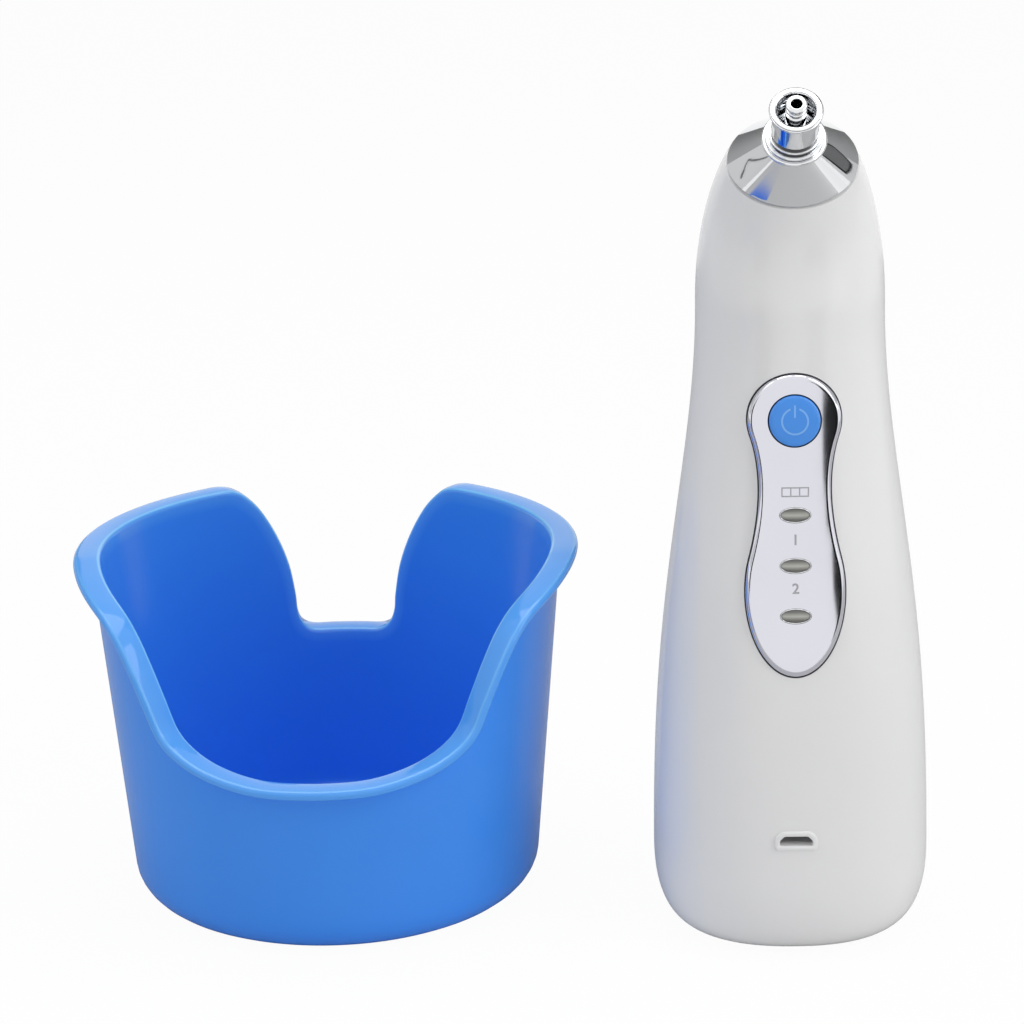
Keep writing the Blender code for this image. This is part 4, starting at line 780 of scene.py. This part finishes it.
def film(name, bars):
    """Thin boxes on the panel: each bar is (x, v, half width, half height), lifted to the face."""
    x, v, w, h = np.array(bars).T[:, :, None]
    cx, cv = x + w * np.array([-1, 1, 1, -1]), v + h * np.array([-1, -1, 1, 1])
    low = panel_face(cx, cv)
    layers = [np.stack([cx, cv, low + lift], axis=-1) for lift in (FILM_UNDER, FILM)]
    points = np.concatenate(layers, axis=1)
    corner = np.array([(3, 2, 1, 0), (4, 5, 6, 7), (0, 1, 5, 4), (1, 2, 6, 5), (2, 3, 7, 6), (3, 0, 4, 7)])
    faces = (8 * np.arange(len(bars))[:, None, None] + corner).reshape(-1, 4)
    mesh = bpy.data.meshes.new(name)
    mesh.from_pydata(placed(points.reshape(-1, 3), PANEL).tolist(), [], faces.tolist())
    return linked(name, mesh)


ends = np.linspace(0.0003 - CELL_WIDE, CELL_WIDE - 0.0003, 8)
bars = [(x, CELL_V + side * CELL_TALL, BAR_WIDE, LINE) for side in (-1, 1) for x in ends]
bars += [(x, CELL_V, LINE, CELL_TALL + LINE) for x in (-CELL_WIDE, -BAR_STEP, BAR_STEP, CELL_WIDE)]
dress(film("mark_cell", bars), INK, "handset")


def numeral(name, text, v):
    """A plain number: text turned into a mesh, thinned to a film and laid on the panel."""
    curve = bpy.data.curves.new(name, "FONT")
    curve.body = text
    curve.size = NUMERAL_SIZE
    curve.align_x, curve.align_y = "CENTER", "CENTER"
    curve.extrude = FILM
    curve.offset = NUMERAL_WEIGHT
    letter = linked(name, curve)
    mesh = settled(letter)
    bpy.data.objects.remove(letter, do_unlink=True)
    points = np.empty(3 * len(mesh.vertices))
    mesh.vertices.foreach_get("co", points)
    points = points.reshape(-1, 3) + (0, v, 0)
    points[:, 2] += panel_face(points[:, 0], points[:, 1])
    mesh.vertices.foreach_set("co", placed(points, PANEL).ravel())
    mesh.update()
    return linked(name, mesh)


for text, v in LEVEL_MARKS.items():
    dress(numeral("mark_level_" + text, text, v), INK, "handset")

# %% [markdown]
# ## Power button
#
# A satin blue cap, almost flat with a rounded edge.  Its sign, a ring with a bar, is raised a hair and
# paler.  The sign is worked out in the finish from the distance to the button's centre, so that it stays
# sharp however close one looks.

# %% Button
SIGN_RADIUS, SIGN_LINE, SIGN_GAP = 0.0027, 0.0002, 0.0009
BAR_CENTRE, BAR_HALF = 0.0021, 0.0013
BUTTON_PROUD, BUTTON_EDGE, BUTTON_CROWN = 0.0006, 0.0006, 0.00035
BUTTON_FLANGE, FLANGE_LOW, FLANGE_HIGH = 0.0064, -0.0046, -0.0040


def button_blue(t):
    """Blue with a pale sign: a ring open at the top and a bar, from distances in the panel's frame."""
    x, v, _ = t.local(PANEL)
    away = (x * x + v * v) ** 0.5
    ring = ((away - SIGN_RADIUS).size() < SIGN_LINE) * (1 - (x.size() < SIGN_GAP) * (v > 0.0))
    bar = (x.size() < SIGN_LINE) * ((v - BAR_CENTRE).size() < BAR_HALF)
    sign = t.math("MAXIMUM", ring, bar)
    ground = t.mix(t.speckle(120.0), (0.055, 0.27, 0.80, 1), (0.07, 0.30, 0.84, 1))
    return {"Base Color": t.mix(sign, ground, (0.20, 0.46, 0.92, 1)),
            "Roughness": 0.30 + 0.08 * t.speckle(800.0),
            "Normal": t.bump(sign, 0.00006)}


BUTTON = finish("button_blue", button_blue)
edge_top = PANEL_PROUD + BUTTON_PROUD
cap = [(BUTTON_FLANGE, FLANGE_LOW), (BUTTON_FLANGE, FLANGE_HIGH), (BUTTON_RADIUS, FLANGE_HIGH)]
cap += arc(BUTTON_RADIUS - BUTTON_EDGE, edge_top - BUTTON_EDGE, BUTTON_EDGE, 0, 80, 8)
cap += [(r, edge_top + BUTTON_CROWN * (1 - (r / BUTTON_RADIUS) ** 2))
        for r in np.linspace(0.0045, 0.0002, 14)]
dress(turned("button_cap", cap, PANEL, 96), BUTTON, "button", ["power_button"])

# %% [markdown]
# ## Charging opening
#
# A low rounded rim stands round the opening.  It is a profile carried along the opening's outline: each
# row is the outline grown by some amount and lifted off the curved front by some height.

# %% Charging rim
RIM_HALF, RIM_HIGH, RIM_BASE = 0.00055, 0.00035, 0.0002
RIM_OUT, RIM_UNDER, RIM_CORNER = 0.0012, -0.0020, 0.00035
rim_steps = [(0.0, RIM_UNDER), (0.0, RIM_BASE)]
rim_steps += [(RIM_HALF - RIM_HALF * math.cos(a), RIM_BASE + RIM_HIGH * math.sin(a))
              for a in np.linspace(0.2, np.pi - 0.2, 9)]
rim_steps += [(RIM_OUT, -0.0004), (RIM_OUT, RIM_UNDER)]
rim_rows = []
for grow, lift in rim_steps:
    line = usb_outline(grow, RIM_CORNER + 0.5 * grow)
    z = USB_Z + line[:, 1]
    rim_rows.append(np.stack([line[:, 0], -front_y(line[:, 0], z) - lift, z], axis=-1))
dress(skin("charging_rim", np.stack(rim_rows), "loop", 60), WHITE, "handset")

# %% [markdown]
# ## Holder cup
#
# The cup is one blue moulding: a slightly tapered wall whose top dips at the front, opens in a notch at
# the back and turns out into a lip.  The lip's path is a smooth curve of angle and height.  The lip's
# section is carried along it, square to the path; below it the wall is a ruled net between the path and
# the round base, and the inside is the same net set in by the wall.

# %% Blue plastic
def cup_blue(t):
    """Blue with painted highlights: paler over the lip and palest in lines along its edges."""
    ground = t.mix(t.speckle(26.0), (0.040, 0.260, 0.86, 1), (0.050, 0.285, 0.91, 1))
    # Painted highlights: the "lip" attribute lightens the colour over the lip and along its edges.
    lip = t.node("ShaderNodeAttribute", {"attribute_name": "lip"}, output="Fac")
    return {"Base Color": t.mix(lip, ground, (0.19, 0.54, 0.97, 1)),
            "Roughness": 0.20 + 0.06 * t.speckle(110.0) - 0.14 * t.math("MINIMUM", 3.0 * lip, 1.0),
            "Normal": t.bump(t.speckle(260.0, 1.0), 0.00003)}


BLUE = finish("cup_blue", cup_blue, specular_ior_level=0.4)

# %% Cup surface
CUP = Matrix.Translation((-0.1025, 0.0230, 0))
CUP_HEIGHT, CUP_TOP, CUP_BASE, CUP_ROUND = 0.0800, 0.0526, 0.0455, 0.0075
CUP_WALL, CUP_FLOOR, WALL_END = 0.0023, 0.0025, 0.985
LIP_OUT, LIP_THICK, LIP_ROUND = 0.0038, 0.0022, 0.0010
DIP_Z, NOTCH_Z = 0.0412, 0.0441
DIP = ((0, 0), (14, 0.01), (26, 0.065), (34, 0.14), (39, 0.235), (42.5, 0.40), (46.5, 0.58), (51, 0.735),
       (56.5, 0.84), (65, 0.91), (78, 0.975), (92, 1))
NOTCH = ((0, 0), (4, 0), (9.3, 0.003), (12.3, 0.045), (13.8, 0.13), (14.2, 0.25), (15.6, 0.45), (18.5, 0.65),
         (22.5, 0.83), (26.5, 0.94), (29.5, 0.985), (33, 1), (40, 1))


def cup_wall(angle, z, inward=0.0):
    """Cone: the radius grows evenly with height; angle 0 faces the front."""
    radius = CUP_BASE + (CUP_TOP - CUP_BASE) * z / CUP_HEIGHT - inward
    return np.stack([radius * np.sin(angle), -radius * np.cos(angle), z + 0 * angle], axis=-1)


def lip_path(count):
    """Angle and height of the lip all the way round: half of it from knots, the other half mirrored."""
    knots = [(math.radians(a) * CUP_TOP, DIP_Z + s * (CUP_HEIGHT - DIP_Z)) for a, s in DIP]
    knots += [(math.radians(180 - a) * CUP_TOP, NOTCH_Z + s * (CUP_HEIGHT - NOTCH_Z))
              for a, s in reversed(NOTCH)]
    half = evenly(smooth_path(knots, 24), count // 2)
    half[:, 0] /= CUP_TOP
    back = half[-2:0:-1] * (-1, 1) + (2 * np.pi, 0)
    return np.concatenate([half, back]).T


angle, height = lip_path(480)
rim = cup_wall(angle, height)
along = unit(np.roll(rim, -1, axis=0) - np.roll(rim, 1, axis=0))
out = np.stack([np.sin(angle), -np.cos(angle), 0 * angle], axis=-1)
out = unit(out - along * np.sum(out * along, axis=1, keepdims=True))
lift = np.cross(out, along)
LIP_ROOT = LIP_THICK + 0.0006
lip_foot = [(0.0, -LIP_ROOT), (0.0002, -LIP_THICK - 0.0001), (0.0007, -LIP_THICK)]
outer_round = arc(LIP_OUT - LIP_THICK / 2, -LIP_THICK / 2, LIP_THICK / 2, -90, 90, 9)
lip_top = [(0.0008, 0.00012), (-0.0004, 0.00010)]
inner_edge = arc(LIP_ROUND - CUP_WALL, -LIP_ROUND, LIP_ROUND, 90, 180, 6)
lip = lip_foot + outer_round + lip_top + inner_edge
lip_rows = np.stack([rim + a * out + b * lift for a, b in lip])
steps = np.linalg.norm(np.roll(rim, -1, axis=0) - rim, axis=1)
base_angle = 2 * np.pi * np.concatenate([[0], np.cumsum(steps)[:-1]]) / steps.sum()
root = rim - LIP_ROOT * lift
root_angle = angle + (np.arctan2(root[:, 0], -root[:, 1]) - angle + np.pi) % (2 * np.pi) - np.pi


def wall_rows(foot, inward, count=22):
    """Net between the round base and the lip: angle and height go evenly from one to the other."""
    share = np.linspace(0, WALL_END, count)[:, None]
    turn = base_angle + (root_angle - base_angle) * share
    return cup_wall(turn, foot + (root[:, 2] - foot) * share, inward)


def floor_rows(inward, low, rounding, count=8):
    """Quarter circle from the flat floor to the wall."""
    a = np.linspace(0, np.pi / 2, count, endpoint=False)[:, None]
    flat = cup_wall(base_angle + 0 * a, low + rounding * (1 - np.cos(a)), inward)
    scale = 1 - rounding * (1 - np.sin(a)) / np.linalg.norm(flat[..., :2], axis=-1)
    return flat * np.stack([scale, scale, 1 + 0 * scale], axis=-1)


inner_round = CUP_ROUND - CUP_WALL
outer = np.concatenate([floor_rows(0, 0, CUP_ROUND), wall_rows(CUP_ROUND, 0)])
inner = np.concatenate([wall_rows(CUP_FLOOR + inner_round, CUP_WALL)[::-1],
                        floor_rows(CUP_WALL, CUP_FLOOR, inner_round)[::-1]])
cup = skin("cup", placed(np.concatenate([outer, lip_rows, inner]), CUP), "caps", 60)
# Painted highlights: the lip is painted paler, and paler still along its outer round and its inner edge.
LIP_SHEEN, OUTER_HIGHLIGHT, INNER_HIGHLIGHT = 0.33, 0.7, 1.0
outer_highlight_row, inner_highlight_row = len(lip_foot) + 7, len(lip) - len(inner_edge) + 1
lip_highlight = np.full(len(lip), LIP_SHEEN)
lip_highlight[outer_highlight_row] = OUTER_HIGHLIGHT
lip_highlight[inner_highlight_row:inner_highlight_row + 2] = INNER_HIGHLIGHT
painted_highlight = np.concatenate([np.zeros(len(outer)), lip_highlight, np.zeros(len(inner))])
highlight_values = cup.data.attributes.new("lip", "FLOAT", "POINT").data
highlight_values.foreach_set("value", np.repeat(painted_highlight, len(angle)))
dress(cup, BLUE, "holder", ["holder_cup"])

# %% [markdown]
# ## Pieces that stay as solids
#
# The foot, the screws and everything inside keep their exact solids.  They get finishes of their own, so
# that what shows through the openings and when the housing is taken apart looks right.

# %% Finishes of the solids
STEEL_NODES = ("tact_switch", "pump_motor", "motor_shaft", "board_screw_1", "board_screw_2", "case_screw_1",
               "case_screw_2", "case_screw_3", "case_screw_4")
SOLIDS = {
    finish("foot_rubber", uneven((0.10, 0.10, 0.11), (0.14, 0.14, 0.15), 0.7)):
        ("base_pad", "nozzle_seal", "diaphragm"),
    finish("soft_silicone", uneven((0.76, 0.76, 0.74), (0.82, 0.82, 0.80), 0.45)):
        ("suction_hose", "led_upper", "led_middle", "led_lower"),
    finish("filter_foam", uneven((0.80, 0.79, 0.74), (0.90, 0.89, 0.86), 0.85, 0.1, 2500.0, 5000.0)):
        ("filter_disc",),
    finish("bright_steel", uneven((0.55, 0.55, 0.56), (0.66, 0.66, 0.67), 0.22), metallic=1.0): STEEL_NODES,
    finish("dull_tin", uneven((0.78, 0.78, 0.78), (0.86, 0.86, 0.86), 0.45), metallic=0.3): ("usb_socket",),
    finish("board_green", uneven((0.03, 0.19, 0.08), (0.05, 0.25, 0.12), 0.4)): ("main_board", "usb_board"),
    finish("black_moulding", uneven((0.025, 0.025, 0.03), (0.04, 0.04, 0.045), 0.4)):
        ("switch_plunger", "chassis", "eccentric", "pump_housing", "pump_cap"),
    finish("grey_moulding", uneven((0.38, 0.39, 0.40), (0.46, 0.47, 0.48), 0.42)):
        ("filter_cup", "wobble_plate", "valve_plate"),
    finish("cell_wrap", uneven((0.08, 0.27, 0.50), (0.12, 0.33, 0.58), 0.3)): ("battery_cell",),
}
for material, names in SOLIDS.items():
    for name in names:
        coat(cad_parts[name].data, material)
print("finished solids:", sum(len(names) for names in SOLIDS.values()))

# %% [markdown]
# ## Floor and light
#
# A pale floor runs out of view on all sides.  Seen by the camera and in mirrors it is lifted to white, and
# it keeps a soft shadow under the object.  Three soft boxes and the bright surroundings light the object
# at a plain level.

# %% Floor
FLOOR_EVEN, FLOOR_DROP, AMBIENT = 0.96, 0.0002, 0.38


def bare(name):
    """A material with an empty node tree, and a tone to start from."""
    material = bpy.data.materials.new(name)
    material.use_nodes = True
    material.node_tree.nodes.clear()
    return material, Tone(material.node_tree)


def sight(t):
    """1 for camera, mirror and glass rays, and 0 for the rest."""
    outputs = t.node("ShaderNodeLightPath").socket.node.outputs
    names = ("Is Camera Ray", "Is Glossy Ray", "Is Transmission Ray")
    eye, mirror, glass = (Tone(t.tree, outputs[name]) for name in names)
    return t.math("MINIMUM", eye + mirror + glass, 1.0)


def plain_floor():
    """A wide plane whose matt white gives way to even white for camera, mirror and glass rays."""
    mesh = bpy.data.meshes.new("floor")
    mesh.from_pydata([(-4, -4, 0), (4, -4, 0), (4, 4, 0), (-4, 4, 0)], [], [(0, 1, 2, 3)])
    floor = linked("floor", mesh)
    floor.location.z = -FLOOR_DROP
    material, t = bare("floor_white")
    matt = t.node("ShaderNodeBsdfDiffuse", inputs={"Color": (0.86, 0.86, 0.86, 1)})
    white = t.node("ShaderNodeEmission", inputs={"Color": (1, 1, 1, 1), "Strength": 1.0})
    mixed = t.node("ShaderNodeMixShader", inputs={0: FLOOR_EVEN * sight(t), 1: matt, 2: white})
    t.node("ShaderNodeOutputMaterial", inputs={"Surface": mixed})
    mesh.materials.append(material)


plain_floor()

# %% World and soft boxes
world = bpy.data.worlds.new("studio")
world.use_nodes = True
scene.world = world
background = world.node_tree.nodes["Background"]
background.inputs["Color"].default_value = (1, 1, 1, 1)
strength = AMBIENT + (1 - AMBIENT) * sight(Tone(world.node_tree))
world.node_tree.links.new(strength.socket, background.inputs["Strength"])


def soft_box(name, place, aim, wide, tall, power):
    """An area lamp at a place, turned towards a point."""
    data = bpy.data.lights.new(name, "AREA")
    data.shape = "RECTANGLE"
    data.size, data.size_y = wide, tall
    data.energy = power
    lamp = linked(name, data)
    lamp.location = place
    lamp.rotation_euler = (Vector(aim) - Vector(place)).to_track_quat("-Z", "Y").to_euler()


soft_box("box_right", (0.75, -0.45, 0.55), (-0.03, 0, 0.08), 0.5, 0.9, 4.2)
soft_box("box_left", (-0.85, -0.40, 0.60), (-0.05, 0, 0.08), 0.5, 0.8, 2.1)
soft_box("box_top", (-0.05, 0.05, 1.10), (-0.05, 0, 0.05), 0.9, 0.7, 4.6)

# %% [markdown]
# ## Cards for the mirrors
#
# Chrome shows only what stands round it, and in an all-white room it has no form.  A studio puts grey,
# black or coloured cards near it, outside the picture.  These cards are seen by mirror rays alone, so that
# they draw edges in the metal and take no light from the object.  Along a straight line of the cone the
# surface faces one way, so a far card gives a whole stripe.  A mark that ends half way needs a small card
# close by, and its corners are worked out from where on the cone they should show.

# %% Cards
def card(name, points, *colour):
    """A flat polygon that only mirrors see, of one grey or of three colour shares."""
    mesh = bpy.data.meshes.new(name)
    mesh.from_pydata(points, [], [list(range(len(points)))])
    obj = linked(name, mesh)
    material, t = bare(name)
    shares = colour if len(colour) == 3 else 3 * colour
    matt = t.node("ShaderNodeBsdfDiffuse", inputs={"Color": (*shares, 1)})
    t.node("ShaderNodeOutputMaterial", inputs={"Surface": matt})
    mesh.materials.append(material)
    obj.visible_camera = obj.visible_diffuse = obj.visible_shadow = False


def upright(name, x, outline, grey):
    """A card that stands in the plane x = constant."""
    card(name, [(x, y, z) for y, z in outline], grey)


NEAR_CARDS, NEAR_Y, NEAR_Z, FIRST_TURN = 0.061, -0.0282, 0.1704, 60
SIDE_Y, SIDE_Z = 0.0026, -0.0005
TURN_Y, TURN_Z, SHARE_Z = 0.0012, 0.0009, 0.0112


def seen_at(side, turn, share):
    """Corners (y, z) of a near card: straight-line fits in the cone's angle and share of its height."""
    turn, share = np.array(turn, float) - FIRST_TURN, np.array(share, float)
    y = NEAR_Y + SIDE_Y * side + TURN_Y * turn
    z = NEAR_Z + SIDE_Z * side + TURN_Z * turn + SHARE_Z * share
    return np.column_stack([y, z])


BLACK, FLAG_GREY, WEDGE_GREY = 0.02, 0.46, 0.80
card("card_floor", [(-1.0, -0.62, 0), (-0.2, -0.40, 0), (0.2, -0.38, 0), (0.62, -0.5, 0), (0.62, 0.7, 0),
                    (-1.0, 0.7, 0)], 0.55)
FRONT_CARDS = -0.25
ragged = [(0.092, 0.035), (0.090, 0.050), (0.082, 0.066), (0.080, 0.085), (0.068, 0.090), (0.072, 0.094),
          (0.064, 0.098), (0.063, 0.108), (0.050, 0.116), (0.046, 0.130), (0.20, 0.130), (0.20, 0.035)]
card("card_right", [(x, FRONT_CARDS, z) for x, z in ragged], BLACK)
even = [(-0.23, 0.06), (-0.105, 0.06), (-0.105, 0.14), (-0.23, 0.14)]
card("card_left", [(x, FRONT_CARDS, z) for x, z in even], BLACK)
for side, name, foot in ((-0.7, "left", 0.10), (0.7, "right", 0.19)):
    upright("flag_" + name, side, ((0.2, 0.2), (2.0, 0.2), (2.0, 1.6), (0.2, 1.6)), FLAG_GREY)
    corners = ((-0.62, foot), (0.3, foot), (0.3, 1.0), (-0.62, 1.0))
    upright("wedge_" + name, 1.1 * side, corners, WEDGE_GREY)
STRIP_HALF = 1.3
bend, share = np.array([61, 66, 74, 68, 63, 56]), np.array([0.18, 0.35, 0.5, 0.65, 0.8, 1.0])
one_side, other_side = (seen_at(-1, bend + half, share) for half in (-STRIP_HALF, STRIP_HALF))
upright("strip_left", -NEAR_CARDS, np.concatenate([one_side, other_side[::-1]]), BLACK)
shape = seen_at(1, (60, 77, 84, 85, 77, 64, 62), (0.95, 0.82, 0.5, 0.25, 0.05, 0.25, 0.65))
upright("strip_right", NEAR_CARDS, shape, 0.22)
upright("outline_right", NEAR_CARDS + 0.0002, shape.mean(0) + 1.2 * (shape - shape.mean(0)), 0.01)
patch = [(-0.185, -0.288), (-0.30, -0.330), (-0.50, -0.404), (-0.62, -0.440), (-0.62, -0.30),
         (-0.185, -0.20)]
card("patch_left", [(x, y, 0.001) for x, y in patch], 0.02, 0.16, 0.75)
